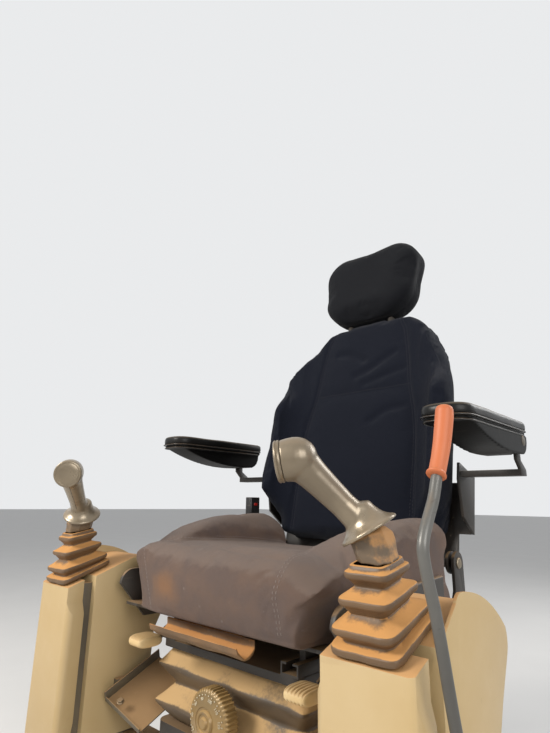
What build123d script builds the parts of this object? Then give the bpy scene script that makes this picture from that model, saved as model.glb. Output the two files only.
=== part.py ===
from build123d import *
import math
import os

# Operator's seat station of an excavator: a suspended seat between two control consoles, on floor rails.
# Millimetres. +X is the operator's left, -Y the way the seat faces, +Z up.
# The origin is on the floor, at the centre of the four floor bolts.

# Fits and running gaps
SEAT_GAP = 0.3          # between soft or curved faces and what they lie against
PIN_GAP = 0.05          # radial clearance of a pin in its bore
SLIDE_GAP = 0.4         # between a slide's runner and its channel
MOVE_GAP = 5.0          # between pieces that pass each other

# Floor rails
BOLT_SPACING_X = 400.0
BOLT_SPACING_Y = 420.0
BOLT_HOLE_R = 5.5
RAIL_X = 150.0
RAIL_LENGTH = 480.0
RAIL_WIDTH = 44.0
RAIL_HEIGHT = 20.0
RAIL_WALL = 3.5
RAIL_SLOT = 16.0
STRAP_WIDTH = 40.0
STRAP_THICKNESS = 4.0

# Pedestal on the floor rails
PEDESTAL_LIFT = 5.0
PEDESTAL_TOP_Z = 150.0
PEDESTAL_HALF_X = 195.0
PEDESTAL_HALF_Y = 200.0
PEDESTAL_DRAFT = 16.0
PEDESTAL_WALL = 4.0
PEDESTAL_CORNER_R = 24.0
RUNNER_LENGTH = 380.0

# Suspension
HOUSING_HALF_X = 170.0
HOUSING_FRONT_Y = -212.0
HOUSING_REAR_Y = 190.0
HOUSING_HEIGHT = 54.0
HOUSING_CORNER_R = 18.0
GAITER_RIDGE_X = 178.0
GAITER_FRONT_Y = -220.0
GAITER_REAR_Y = 196.0
GAITER_FOLD_DEPTH = 26.0
GAITER_FOLDS = 2
GAITER_FOLD_PITCH = 60.0
GAITER_CORNER_R = 10.0
HEAD_HALF_X = 163.0
HEAD_FRONT_Y = -214.0
HEAD_REAR_Y = 190.0
HEAD_THICKNESS = 12.0
HEAD_CORNER_R = 14.0
UPPER_RAIL_X = 145.0
UPPER_RAIL_WIDTH = 34.0
UPPER_RAIL_HEIGHT = 18.0
UPPER_RAIL_WALL = 3.0
UPPER_RAIL_SLOT = 12.0

# Weight knob in front of the gaiter
KNOB_X = 17.0
KNOB_Z = 257.0
KNOB_R = 45.0
KNOB_RIM_R = 42.0
KNOB_RIB_FRONT = 4.0
KNOB_RIB_BACK = 2.0
KNOB_DOME_EDGE = 3.0
KNOB_DOME_TOP = 8.0
KNOB_THICKNESS = 26.0
KNOB_RIBS = 48
KNOB_HUB_R = 15.0
KNOB_HUB_RISE = 5.0
KNOB_BRACKET_WIDTH = 46.0
KNOB_BRACKET_THICKNESS = 5.0
KNOB_BRACKET_RISE = 8.0
KNOB_FOOT_HEIGHT = 12.0

# Seat pan and cushion
CUSHION_HALF_X = 250.0
CUSHION_FRONT_Y = -285.0
CUSHION_SHOULDER_Y = -263.0
CUSHION_REAR_Y = 127.0
CUSHION_CORNER_R = 62.0
CUSHION_CORNER_CUT = 18.0
CUSHION_FRONT_BOTTOM_Z = 392.0
CUSHION_TOP_Z = 507.0
CUSHION_DISH_Z = 497.0
CUSHION_REAR_Z = 482.0
CUSHION_DISH_Y = -80.0
CUSHION_CREST_Y = -215.0
CUSHION_SEAT_REAR_Y = 60.0
# Depth of the front roll's curve, how far it drops, and the same for the lip under it
ROLL_DEPTH = 20.0
ROLL_DROP = 12.0
ROLL_FACE_DROP = 46.0
LIP_DEPTH = 36.0
LIP_RISE = 14.0
BOLSTER_INNER_X = 150.0
BOLSTER_RIDGE_X = 213.0
BOLSTER_TOP_Z = 570.0
BOLSTER_START_Y = -205.0
BOLSTER_MID_Y = -10.0
BOLSTER_MID_DROP = 10.0
BOLSTER_REAR_R = 31.0
BOLSTER_REAR_DROP = 48.0
BOLSTER_ROOT = 20.0
BOLSTER_INNER_STEP = 22.0
BOLSTER_INNER_DROP = 30.0
BOLSTER_OUTER_STEP = 14.0
PAN_INSET = 35.0
PAN_HALF_X = CUSHION_HALF_X - PAN_INSET
PAN_FRONT_Y = CUSHION_FRONT_Y + 45.0
PAN_REAR_Y = 135.0
PAN_THICKNESS = 5.0
PAN_LIFT = 30.0
PAN_RUNNER_SHORT = 60.0
EAR_BASE_FRONT_Y = 70.0
EAR_WEB_RISE = 34.0
EAR_WEB_RUN = 18.0
LEVER_FLANGE_FRONT_Y = -150.0
LEVER_FLANGE_REAR_Y = 60.0
LEVER_FLANGE_DROP = 34.0

# Side valances: mouldings along the cushion's lower sides
VALANCE_WALL = 9.0
VALANCE_FRONT_Y = -257.0
VALANCE_FOOT_Y = -199.0
VALANCE_REAR_Y = 66.0
VALANCE_FRONT_Z = 448.0
VALANCE_REAR_Z = 458.0
VALANCE_BOTTOM_Z = 358.0
VALANCE_CORNER_R = 26.0
VALANCE_EDGE_R = 3.0

# Handle bar under the cushion's front: a gutter with a rounded rear corner and a low front lip
BAR_HALF_X = 108.0
BAR_FRONT_Y = -283.0
BAR_REAR_Y = -245.0
BAR_BOTTOM_Z = 359.0
BAR_WALL = 4.0
BAR_LIP_Z = 379.0
BAR_FLOOR_RISE = 10.0
BAR_CORNER_Y = 24.0
BAR_CORNER_Z = 12.0
BAR_FLANGE_HALF_X = 78.0
BAR_FLANGE_REAR_Y = -200.0

# Paddle levers under the cushion's sides
PADDLE_X = 190.0
PADDLE_WIDTH = 44.0
PADDLE_DEPTH = 52.0
PADDLE_THICKNESS = 18.0
PADDLE_FRONT_Y = -259.0
PADDLE_Z = 330.0
PADDLE_CORNER_R = 9.0
PADDLE_RIBS = 6
PADDLE_GROOVE = 1.5
LEVER_STRIP = 4.0
LEVER_STRIP_HEIGHT = 16.0
LEVER_STRIP_DROP = 30.0

# Recliner hinge and backrest, in a frame at the hinge whose Z runs up the backrest
HINGE_Y = 170.0
HINGE_Z = 470.0
RECLINE = 13.5
HINGE_PIN_R = 6.0
EAR_R = 21.0
EAR_THICKNESS = 6.0
EAR_GAP = 1.0
HINGE_PIN_END = 3.0
EAR_INSET = 20.0
EAR_X = CUSHION_HALF_X - EAR_INSET
BACK_FRONT = -41.0
BACK_REAR = 28.0
BACK_TOP = 590.0
BACK_BOTTOM = 27.0
# Half widths of the backrest: height above the hinge, half width
BACK_OUTLINE = ((27.0, 196.0), (85.0, 222.0), (165.0, 250.0), (250.0, 254.0), (360.0, 246.0), (430.0, 228.0))
BACK_SHOULDER_MID = (505.0, 190.0)
BACK_SHOULDER_END = (578.0, 118.0)
BACK_HALF_X = max(half for _, half in BACK_OUTLINE)
# The section from above: bolster ridge, widest line and the narrower rear
BACK_BOLSTER_FRONT = -104.0
BACK_RIDGE_INSET = 38.0
BACK_RIDGE_ROUND = 22.0
BACK_WIDEST = -62.0
BACK_REAR_INSET = 40.0
BACK_BOLSTER_SLOPE = 60.0
BACK_BOLSTER_HOLLOW = 14.0
BACK_BOLSTER_START = 62.0
BACK_BOLSTER_RISE = 70.0
FRAME_PLATE = 5.0
FRAME_INSET = 44.0
EAR_PLATE_TOP = 130.0
EAR_PLATE_BOTTOM = -6.0
LUG_BOTTOM = 60.0
LUG_TOP = 165.0
LUG_REACH = 50.0
SHELL_THICKNESS = 24.0
SHELL_INSET = 41.0
SHELL_TAPER = 24.0

# Headrest
HEADREST_WIDTH = 252.0
HEADREST_HEIGHT = 206.0
HEADREST_THICKNESS = 96.0
HEADREST_BOTTOM = 596.0
HEADREST_CENTRE = -31.0
HEADREST_CORNER_R = 60.0
HEADREST_EDGE_R = 32.0
POST_R = 5.0
POST_X = 62.0
POST_OFFSET = 8.0
POST_BOTTOM = 460.0
POST_IN_PAD = 60.0
POST_CLEAR = 12.0
GUIDE_R = 8.5
GUIDE_BOTTOM = 520.0

# Armrests
ARM_INNER_X = 304.0
ARM_WIDTH = 86.0
ARM_FRONT_Y = -98.0
ARM_REAR_Y = 190.0
ARM_TOP_Z = 732.0
ARM_PAD_THICKNESS = 20.0
ARM_RIM_THICKNESS = 8.0
ARM_RIM_INSET = 3.0
ARM_SHELL_DEPTH = 44.0
ARM_SHELL_INSET = 15.0
ARM_SHELL_FRONT = 26.0
ARM_TIP_R = 34.0
ARM_TIP_CUT = 10.0
ARM_REAR_R = 16.0
ARM_REAR_CUT = 5.0
ARM_EDGE_R = 8.0
ARM_PIVOT_Y = 164.0
ARM_PIVOT_Z = 694.0
ARM_PIN_R = 6.0
ARM_PIN_REACH = 11.0
ARM_SLOT_WIDTH = 16.0
ARM_SLOT_RISE = 16.0
ARM_SLOT_FRONT = 18.0
BRACKET_PLATE_X = BACK_HALF_X + 1.0
BRACKET_THICKNESS = 6.0
BRACKET_UPRIGHT_X = 370.0
BRACKET_STRAP_HALF = 11.0
BRACKET_BAR_HEIGHT = 12.0
BRACKET_BAR_DEPTH = 30.0
BRACKET_BAR_Z = 638.0
BRACKET_BAR_Y = 185.0
BRACKET_FLARE = 16.0

# Seat belt ends
BUCKLE_GAP = 9.0
BUCKLE_X = CUSHION_HALF_X + BUCKLE_GAP + 3.0
BUCKLE_Y = 112.0
BUCKLE_TOP_Z = 590.0
BUCKLE_HALF_Y = 17.0
BUCKLE_HEIGHT = 60.0
BUCKLE_INNER = 9.0
BUCKLE_OUTER = 12.0
BUCKLE_CORNER_R = 5.0
BUCKLE_SLOT_DEPTH = 22.0
BUCKLE_SLOT_HALF_Y = 11.0
BUCKLE_SLOT_INNER = 2.0
BUCKLE_SLOT_OUTER = 5.0
STALK_THICKNESS = 3.0
STALK_HALF_Y = 12.0
STALK_FOOT_HALF_Y = 18.0
RETRACTOR_GAP = 6.0
RETRACTOR_X = CUSHION_HALF_X + SEAT_GAP + VALANCE_WALL + RETRACTOR_GAP
RETRACTOR_WIDTH = 34.0
RETRACTOR_Y = 162.0
RETRACTOR_HALF_Y = 26.0
RETRACTOR_HEIGHT = 52.0
RETRACTOR_CORNER_R = 14.0
RETRACTOR_SLOT_DEPTH = 10.0
RETRACTOR_SLOT_HALF_Y = 22.0
RETRACTOR_SLOT_X = 14.0
RETRACTOR_SLOT_WIDTH = 6.0
ANCHOR_Z = 316.0
ANCHOR_THICKNESS = 4.0
ANCHOR_MARGIN = 4.0
TONGUE_THICKNESS = 3.0
TONGUE_HALF_Y = 19.0
TONGUE_PLATE = 12.0
TONGUE_BODY_LOW = 10.0
TONGUE_BODY_HIGH = 20.0
TONGUE_BODY_THICKNESS = 10.0
TONGUE_BODY_HALF_Y = 21.0
TONGUE_TIP = 31.0
TONGUE_TIP_HALF_Y = 10.0

# Consoles
CONSOLE_INNER_X = 288.0
CONSOLE_OUTER_X = 416.0
CONSOLE_NECK_INNER_X = 298.0
CONSOLE_NECK_OUTER_X = 411.5
CONSOLE_SHOULDER_Z = 381.0
CONSOLE_SHOULDER_BAND = 10.0
CONSOLE_FRONT_Y = -340.0
CONSOLE_SLOT_FRONT_Y = -308.0
CONSOLE_SLOT_REAR_Y = -290.0
CONSOLE_BOTTOM_Z = 150.0
CONSOLE_CLEAR_Z = 520.0
CONSOLE_TOP_FRONT_Z = 417.0
CONSOLE_SLOPE = 20.0
CONSOLE_FOOT_RISE = 40.0
CONSOLE_FOOT_CUT = 10.0
CONSOLE_EDGE_R = 13.0
CONSOLE_EDGE_CUT = 4.0
# Rear cover: outline of the outer wall in (Y, Z), from the lip's peak back and down
CONSOLE_LIP_WALL = 4.0
LIP_SHOULDER = (-244.0, 472.0)
LIP_ROUND = (-237.0, 480.0)
LIP_PEAK = (-226.0, 482.0)
COVER_BACK = (-150.0, 463.0)
COVER_REAR_HIGH = (-101.0, 428.0)
COVER_REAR_MID = (-97.5, 412.0)
COVER_REAR_LOW = (-102.0, 396.0)
COVER_LOWER = (-131.0, 350.0)
COVER_FOOT_HIGH = (-147.0, 320.0)
COVER_FOOT_Y = -158.0
BASE_TOP_REAR_Y = -208.0
BASE_BACK = (-146.0, 458.0)
CORE_OUTER_X = 400.0
CORE_INSET = 2.0
CORE_TOP_DROP = 6.0
ARM_TUBE_FRONT_Y = -196.0
ARM_TUBE_REAR_Y = -140.0
ARM_TUBE_BOTTOM_Z = 104.0
ARM_TUBE_OVERLAP = 6.0
ARM_TUBE_END_INSET = 22.0
SHELF_THICKNESS = 8.0
SHELF_INSET = 12.0
GUSSET_X = 352.0
GUSSET_THICKNESS = 8.0
GUSSET_FRONT = 30.0

# Sloping trays between the consoles' feet and the seat
TRAY_THICKNESS = 2.5
TRAY_RIM = 22.0
TRAY_WIDTH = 103.0
TRAY_LENGTH = 128.0
TRAY_SIDE_TILT = 20.0
TRAY_REAR_TILT = 24.0
TRAY_GAP = 9.0
TRAY_FRONT_Y = -252.0
TRAY_FRONT_Z = 214.0
TRAY_LUG_OVERLAP = 3.0
TRAY_LUG_Y = (-232.0, -196.0)
TRAY_LUG_Z = (226.0, 246.0)

# Control lever boots: pleat outline by height, from the console up
BOOT_X = 353.0
BOOT_CORNER = 14.0
BOOT_WALL = 3.5
BOOT_VALLEY = 9.0
BOOT_RIM = 8.0
# Pleats from the console up: centre Y, centre Z, forward tilt, width, depth
PLEATS = (
    (-298.0, 457.6, 16.0, 79.0, 98.0),
    (-302.0, 482.5, 13.0, 64.0, 80.0),
    (-304.0, 506.5, 11.0, 57.0, 61.0),
)
BOOT_BASE_WIDTH = 88.0
BOOT_BASE_DEPTH = 103.0
BOOT_BASE_THICKNESS = 9.0
BOOT_BASE_Y = -293.0
# Neck under the collar: centre Y, centre Z, forward tilt, width, depth
BOOT_NECK = (-305.0, 517.0, 12.0, 46.0, 50.0)
BOOT_NECK_MARGIN = 4.0
LOFT_OVERLAP = 0.1

# Control sticks: pivot, knee, foot of the grip and its head, on the left console
STICK_PIVOT = (BOOT_X, -296.0, 461.0)
STICK_KNEE = (356.0, -304.0, 516.0)
GRIP_FOOT = (345.5, -304.0, 548.0)
GRIP_HEAD = (288.0, -368.0, 629.0)
GRIP_CAP_DIRECTION = (-0.81, -0.56, -0.16)
# Sideways direction that the collar's flats and the grip's sections are turned to
GRIP_TURN = (1.0, 0.0, 0.6)
SHAFT_R = 8.0
SHAFT_GAP = 0.1
COLLAR_WIDTH = 46.0
COLLAR_CHAMFER = 12.0
COLLAR_LENGTH = 27.0
COLLAR_LOW_STEP = 8.0
COLLAR_HIGH_STEP = 6.0
COLLAR_LOW_CUT = 3.0
COLLAR_HIGH_CUT = 5.0
CUT_HALF = 60.0
SKIRT_R = 35.0
SKIRT_THICKNESS = 5.0
SKIRT_HEIGHT = 16.0
SKIRT_LIP = 2.0
SKIRT_SWEEP = 12.0
GRIP_WAIST_R = 15.5
GRIP_PALM_R = 18.0
GRIP_HEAD_R = 26.0
# Palm sections: share of the way from foot to head, radius
PALM_SECTIONS = ((0.10, GRIP_WAIST_R + 3.0), (0.34, GRIP_WAIST_R), (0.66, GRIP_PALM_R),
                 (0.90, GRIP_HEAD_R - 4.0))
CAP_R = 24.5
CAP_THICKNESS = 8.0
CAP_REACH = 25.0
CAP_EDGE_R = 3.0
GIMBAL_WIDTH = 18.0
GIMBAL_HALF_Z = 8.0
GIMBAL_PIN_R = 4.0
GIMBAL_BORE = 5.0
YOKE_GAP = 4.0
YOKE_HALF_Y = 8.0
YOKE_FOOT_REAR_Y = -262.0
FORK_THICKNESS = 4.0
FORK_GAP = 0.5
FORK_HALF_X = 7.0
FORK_DROP = 6.0
FORK_RISE = 14.0
FORK_CROWN = 20.0
PIN_ENTRY = 4.0

# Lock lever beside the left console: pivot, bends and end of the tube in (Y, Z)
LEVER_X = 441.0
LEVER_PATH = ((-299.0, 307.0), (-373.0, 537.0), (-314.0, 622.0), (-289.0, 688.0))
LEVER_BENDS = (45.0, 60.0)
LEVER_PIVOT_Y, LEVER_PIVOT_Z = LEVER_PATH[0]
LEVER_R = 7.5
LEVER_EYE_R = 16.0
LEVER_PIN_R = 6.0
LEVER_PIN_ROOT = 2.0
LEVER_WASHER_R = 9.0
LEVER_HEAD_R = 11.0
LEVER_HEAD_THICKNESS = 5.0
LEVER_SIDE_GAP = 1.0
LEVER_GRIP_R = 12.0
LEVER_GRIP_BELOW_BEND = 17.5
LEVER_GRIP_WALL = 4.0
LEVER_GRIP_LIP_R = 13.5
LEVER_GRIP_LIP = 5.0


CENTRED_FOOT = (Align.CENTER, Align.CENTER, Align.MIN)


def block(x0, x1, y0, y1, z0, z1):
    """A box from its lowest to its highest corner."""
    return Pos((x0 + x1) / 2, (y0 + y1) / 2, (z0 + z1) / 2) * Box(x1 - x0, y1 - y0, z1 - z0)


def outline(start, *steps):
    """A closed flat face: a step is a point for a line, or (through, end) for an arc."""
    edges, here = [], start
    for step in steps:
        if isinstance(step[0], tuple):
            edges.append(ThreePointArc(here, step[0], step[1]))
            here = step[1]
        else:
            edges.append(Line(here, step))
            here = step
    if here != start:
        edges.append(Line(here, start))
    return Face(Wire(edges))


def across(face, x0, x1):
    """Carry a face drawn in (Y, Z) along X."""
    return Pos(x0, 0, 0) * extrude(Plane.YZ * face, amount=x1 - x0, dir=(1, 0, 0))


def along(face, y0, y1):
    """Carry a face drawn in (X, Z) along Y."""
    return Pos(0, y0, 0) * extrude(Plane.XZ * face, amount=y1 - y0, dir=(0, 1, 0))


def upward(face, z0, z1):
    """Carry a face drawn in (X, Y) along Z."""
    return Pos(0, 0, z0) * extrude(face, amount=z1 - z0, dir=(0, 0, 1))


def rod_x(radius, x0, x1, y, z):
    """A round bar along X."""
    return Pos(x0, y, z) * Rot(0, 90, 0) * Cylinder(radius, x1 - x0, align=CENTRED_FOOT)


def rod_y(radius, y0, y1, x, z):
    """A round bar along Y."""
    return Pos(x, y0, z) * Rot(-90, 0, 0) * Cylinder(radius, y1 - y0, align=CENTRED_FOOT)


def rod_z(radius, z0, z1, x, y):
    """A round bar along Z."""
    return Pos(x, y, z0) * Cylinder(radius, z1 - z0, align=CENTRED_FOOT)


def rod_between(start, end, radius):
    """A round bar from one point to another."""
    axis = Vector(*end) - Vector(*start)
    return Plane(origin=start, z_dir=axis) * Cylinder(radius, axis.length, align=CENTRED_FOOT)


def save(name, shape):
    """Write one node."""
    solids = shape.solids()
    body = solids[0] if len(solids) == 1 else Compound(children=solids)
    export_step(body, f"parts/{name}.step")


def save_pair(name, left):
    """Write a node for the left side and its mirror image for the right."""
    save(f"{name}_left", left)
    save(f"{name}_right", mirror(left, about=Plane.YZ))


def both(piece):
    """A piece and its mirror image on the other side."""
    return piece + mirror(piece, about=Plane.YZ)


def channel(width, height, wall, slot, length):
    """A slide channel along Y, open at the top between two lips, on z = 0."""
    half = width / 2
    outer = block(-half, half, -length / 2, length / 2, 0, height)
    hollow = block(-half + wall, half - wall, -length / 2, length / 2, wall, height - wall)
    return outer - hollow - block(-slot / 2, slot / 2, -length / 2, length / 2, height - wall, height)


def runner(width, height, wall, slot, length, top):
    """The T shaped runner of a channel: its foot fills the channel and its web stands up to top."""
    half = width / 2 - wall - SLIDE_GAP
    foot = block(-half, half, -length / 2, length / 2, wall + SLIDE_GAP, height - wall - SLIDE_GAP)
    web = slot / 2 - SLIDE_GAP
    return foot + block(-web, web, -length / 2, length / 2, height - wall - SLIDE_GAP, top)


def chamfered(width, depth, corner):
    """A rectangle with its corners cut off, centred on the origin."""
    a, b = width / 2, depth / 2
    return Polyline((-a + corner, -b), (a - corner, -b), (a, -b + corner), (a, b - corner),
                    (a - corner, b), (-a + corner, b), (-a, b - corner), (-a, -b + corner), close=True)


os.makedirs("parts", exist_ok=True)

# Floor rails with the straps that take the floor bolts
rail_outer_x = RAIL_X + RAIL_WIDTH / 2
rail_inner_x = RAIL_X - RAIL_WIDTH / 2
strap_end_x = BOLT_SPACING_X / 2 + STRAP_WIDTH / 2
floor_rails = both(Pos(RAIL_X, 0, 0) * channel(RAIL_WIDTH, RAIL_HEIGHT, RAIL_WALL, RAIL_SLOT, RAIL_LENGTH))
for end in (-1, 1):
    strap_y = end * BOLT_SPACING_Y / 2
    y0, y1 = strap_y - STRAP_WIDTH / 2, strap_y + STRAP_WIDTH / 2
    for x0, x1 in ((-strap_end_x, -rail_outer_x), (-rail_inner_x, rail_inner_x), (rail_outer_x, strap_end_x)):
        floor_rails += block(x0, x1, y0, y1, 0, STRAP_THICKNESS)
    for side in (-1, 1):
        floor_rails -= rod_z(BOLT_HOLE_R, 0, STRAP_THICKNESS, side * BOLT_SPACING_X / 2, strap_y)
save("floor_rails", floor_rails)

# Pedestal: a drawn steel box, open below, on two runners
pedestal_z = RAIL_HEIGHT + PEDESTAL_LIFT


def pedestal_solid(inset, z0, z1):
    """The pedestal's tapered outside, or its inside with an inset."""
    share = (PEDESTAL_TOP_Z - z0) / (PEDESTAL_TOP_Z - pedestal_z)
    foot_x, foot_y = (h - PEDESTAL_DRAFT * (1 - share) - inset for h in (PEDESTAL_HALF_X, PEDESTAL_HALF_Y))
    share = (PEDESTAL_TOP_Z - z1) / (PEDESTAL_TOP_Z - pedestal_z)
    top_x, top_y = (h - PEDESTAL_DRAFT * (1 - share) - inset for h in (PEDESTAL_HALF_X, PEDESTAL_HALF_Y))
    radius = PEDESTAL_CORNER_R - inset
    low = Pos(0, 0, z0) * RectangleRounded(2 * foot_x, 2 * foot_y, radius)
    high = Pos(0, 0, z1) * RectangleRounded(2 * top_x, 2 * top_y, radius)
    return loft([low, high])


pedestal = pedestal_solid(0, pedestal_z, PEDESTAL_TOP_Z)
pedestal -= pedestal_solid(PEDESTAL_WALL, pedestal_z, PEDESTAL_TOP_Z - PEDESTAL_WALL)
pedestal_straight_x = PEDESTAL_HALF_X - PEDESTAL_CORNER_R
pedestal_straight_y = PEDESTAL_HALF_Y - PEDESTAL_CORNER_R
pedestal_floor_top = pedestal_z + PEDESTAL_WALL
for side in (-1, 1):
    pedestal += Pos(side * RAIL_X, 0, 0) * runner(
        RAIL_WIDTH, RAIL_HEIGHT, RAIL_WALL, RAIL_SLOT, RUNNER_LENGTH, pedestal_z)
    x0, x1 = sorted((side * rail_inner_x, side * rail_outer_x))
    pedestal += block(x0, x1, -pedestal_straight_y, pedestal_straight_y, pedestal_z, pedestal_floor_top)
    y0, y1 = sorted((side * pedestal_straight_y, side * (PEDESTAL_HALF_Y - PEDESTAL_WALL / 2)))
    pedestal += block(-pedestal_straight_x, pedestal_straight_x, y0, y1, pedestal_z, pedestal_floor_top)
save("pedestal", pedestal)

# Suspension housing, gaiter and head with the upper rails
housing_top_z = PEDESTAL_TOP_Z + HOUSING_HEIGHT
housing_y = (HOUSING_FRONT_Y + HOUSING_REAR_Y) / 2
housing_depth = HOUSING_REAR_Y - HOUSING_FRONT_Y
save("suspension_housing", Pos(0, housing_y, PEDESTAL_TOP_Z) * extrude(
    RectangleRounded(2 * HOUSING_HALF_X, housing_depth, HOUSING_CORNER_R), amount=HOUSING_HEIGHT))

head_z = housing_top_z + GAITER_FOLDS * GAITER_FOLD_PITCH
gaiter_y = (GAITER_FRONT_Y + GAITER_REAR_Y) / 2
gaiter_depth = GAITER_REAR_Y - GAITER_FRONT_Y
gaiter_levels = []
for fold in range(GAITER_FOLDS):
    z = housing_top_z + fold * GAITER_FOLD_PITCH
    gaiter_levels.append((z + (SEAT_GAP if fold == 0 else 0), GAITER_FOLD_DEPTH))
    gaiter_levels.append((z + GAITER_FOLD_PITCH / 2, 0))
gaiter_levels.append((head_z - SEAT_GAP, GAITER_FOLD_DEPTH))
gaiter = loft([Pos(0, gaiter_y, z) * RectangleRounded(
    2 * (GAITER_RIDGE_X - inset), gaiter_depth - 2 * inset, GAITER_CORNER_R)
    for z, inset in gaiter_levels], ruled=True)
save("gaiter", gaiter)

upper_rail_length = HEAD_REAR_Y - HEAD_FRONT_Y
upper_rail_y = (HEAD_REAR_Y + HEAD_FRONT_Y) / 2
rail_floor_z = head_z + HEAD_THICKNESS
head = Pos(0, upper_rail_y, head_z) * extrude(
    RectangleRounded(2 * HEAD_HALF_X, upper_rail_length, HEAD_CORNER_R), amount=HEAD_THICKNESS)
head += both(Pos(UPPER_RAIL_X, upper_rail_y, rail_floor_z) * channel(
    UPPER_RAIL_WIDTH, UPPER_RAIL_HEIGHT, UPPER_RAIL_WALL, UPPER_RAIL_SLOT, upper_rail_length))
save("suspension_head", head)

# Knob bracket: a foot on the housing's front and a tongue that stands before the gaiter
knob_back_y = GAITER_FRONT_Y - MOVE_GAP - KNOB_BRACKET_THICKNESS
bracket_half = KNOB_BRACKET_WIDTH / 2
bracket_x0, bracket_x1 = KNOB_X - bracket_half, KNOB_X + bracket_half
bracket_z = PEDESTAL_TOP_Z + KNOB_BRACKET_RISE
tongue_top = ((KNOB_X, KNOB_Z + bracket_half), (bracket_x0, KNOB_Z))
tongue = along(outline((bracket_x0, bracket_z), (bracket_x1, bracket_z), (bracket_x1, KNOB_Z), tongue_top),
               knob_back_y, knob_back_y + KNOB_BRACKET_THICKNESS)
bracket_foot = block(bracket_x0, bracket_x1, knob_back_y, HOUSING_FRONT_Y, bracket_z,
                     bracket_z + KNOB_FOOT_HEIGHT)
save("knob_bracket", bracket_foot + tongue)

# Weight knob: a ribbed rim, a domed face and a raised hub, on the tongue's front
knob_face_y = knob_back_y - KNOB_THICKNESS
knob = rod_y(KNOB_RIM_R, knob_face_y, knob_back_y, KNOB_X, KNOB_Z)
rib_width = math.pi * KNOB_RIM_R / KNOB_RIBS
rib = block(-rib_width / 2, rib_width / 2, knob_face_y + KNOB_RIB_FRONT, knob_back_y - KNOB_RIB_BACK,
            KNOB_RIM_R - rib_width / 4, KNOB_R)
knob += [Pos(KNOB_X, 0, KNOB_Z) * Rot(0, 360 * n / KNOB_RIBS, 0) * rib for n in range(KNOB_RIBS)]
knob += Pos(KNOB_X, knob_face_y, KNOB_Z) * Rot(90, 0, 0) * Cone(
    KNOB_RIM_R - KNOB_DOME_EDGE, KNOB_HUB_R + KNOB_DOME_TOP, KNOB_HUB_RISE, align=CENTRED_FOOT)
knob += rod_y(KNOB_HUB_R, knob_face_y - 2 * KNOB_HUB_RISE, knob_face_y, KNOB_X, KNOB_Z)
save("weight_knob", knob)

# Seat pan: a plate on two runners, with side flanges and the outer hinge ears
pan_z = rail_floor_z + PAN_LIFT + UPPER_RAIL_HEIGHT
pan_top_z = pan_z + PAN_THICKNESS
outer_ear_x = EAR_X + EAR_THICKNESS + EAR_GAP
ear_outside_x = outer_ear_x + EAR_THICKNESS
pan = block(-PAN_HALF_X, PAN_HALF_X, PAN_FRONT_Y, PAN_REAR_Y, pan_z, pan_top_z)
pan += block(-ear_outside_x, ear_outside_x, EAR_BASE_FRONT_Y, PAN_REAR_Y, pan_z, pan_top_z)
ear_top = ((HINGE_Y, HINGE_Z + EAR_R), (HINGE_Y - EAR_R, HINGE_Z))
ear = across(outline((EAR_BASE_FRONT_Y, pan_z), (HINGE_Y + EAR_R, pan_z), (HINGE_Y + EAR_R, HINGE_Z), ear_top,
                     (HINGE_Y - EAR_R, pan_top_z + EAR_WEB_RISE), (HINGE_Y - EAR_R - EAR_WEB_RUN, pan_top_z),
                     (EAR_BASE_FRONT_Y, pan_top_z)), outer_ear_x, ear_outside_x)
ear -= rod_x(HINGE_PIN_R + PIN_GAP, outer_ear_x, ear_outside_x, HINGE_Y, HINGE_Z)
pan += both(ear)
pan_runner = Pos(UPPER_RAIL_X, upper_rail_y, rail_floor_z) * runner(
    UPPER_RAIL_WIDTH, UPPER_RAIL_HEIGHT, UPPER_RAIL_WALL, UPPER_RAIL_SLOT, upper_rail_length - PAN_RUNNER_SHORT,
    PAN_LIFT + UPPER_RAIL_HEIGHT)
lever_flange = block(PADDLE_X - LEVER_STRIP, PADDLE_X - LEVER_STRIP / 2, LEVER_FLANGE_FRONT_Y,
                     LEVER_FLANGE_REAR_Y, pan_z - LEVER_FLANGE_DROP, pan_z)
pan += both(pan_runner + lever_flange)
save("seat_pan", pan)

# Seat cushion: plan outline, side profile with a front roll, and the raised side bolsters
cushion_z = pan_top_z + SEAT_GAP
corner_end_y = CUSHION_SHOULDER_Y + CUSHION_CORNER_R
corner_x = CUSHION_HALF_X - CUSHION_CORNER_R
corner_mid = (CUSHION_HALF_X - CUSHION_CORNER_CUT, CUSHION_SHOULDER_Y + CUSHION_CORNER_CUT)
plan = outline((-CUSHION_HALF_X, CUSHION_REAR_Y), (-CUSHION_HALF_X, corner_end_y),
               ((-corner_mid[0], corner_mid[1]), (-corner_x, CUSHION_SHOULDER_Y)),
               ((0, CUSHION_FRONT_Y), (corner_x, CUSHION_SHOULDER_Y)),
               (corner_mid, (CUSHION_HALF_X, corner_end_y)), (CUSHION_HALF_X, CUSHION_REAR_Y))
roll_curve = ((CUSHION_FRONT_Y + ROLL_DEPTH, CUSHION_TOP_Z - ROLL_DROP),
              (CUSHION_FRONT_Y, CUSHION_TOP_Z - ROLL_FACE_DROP))
lip_curve = ((CUSHION_FRONT_Y + LIP_RISE, CUSHION_FRONT_BOTTOM_Z),
             (CUSHION_FRONT_Y + LIP_DEPTH, CUSHION_FRONT_BOTTOM_Z - LIP_RISE / 4))
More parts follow.
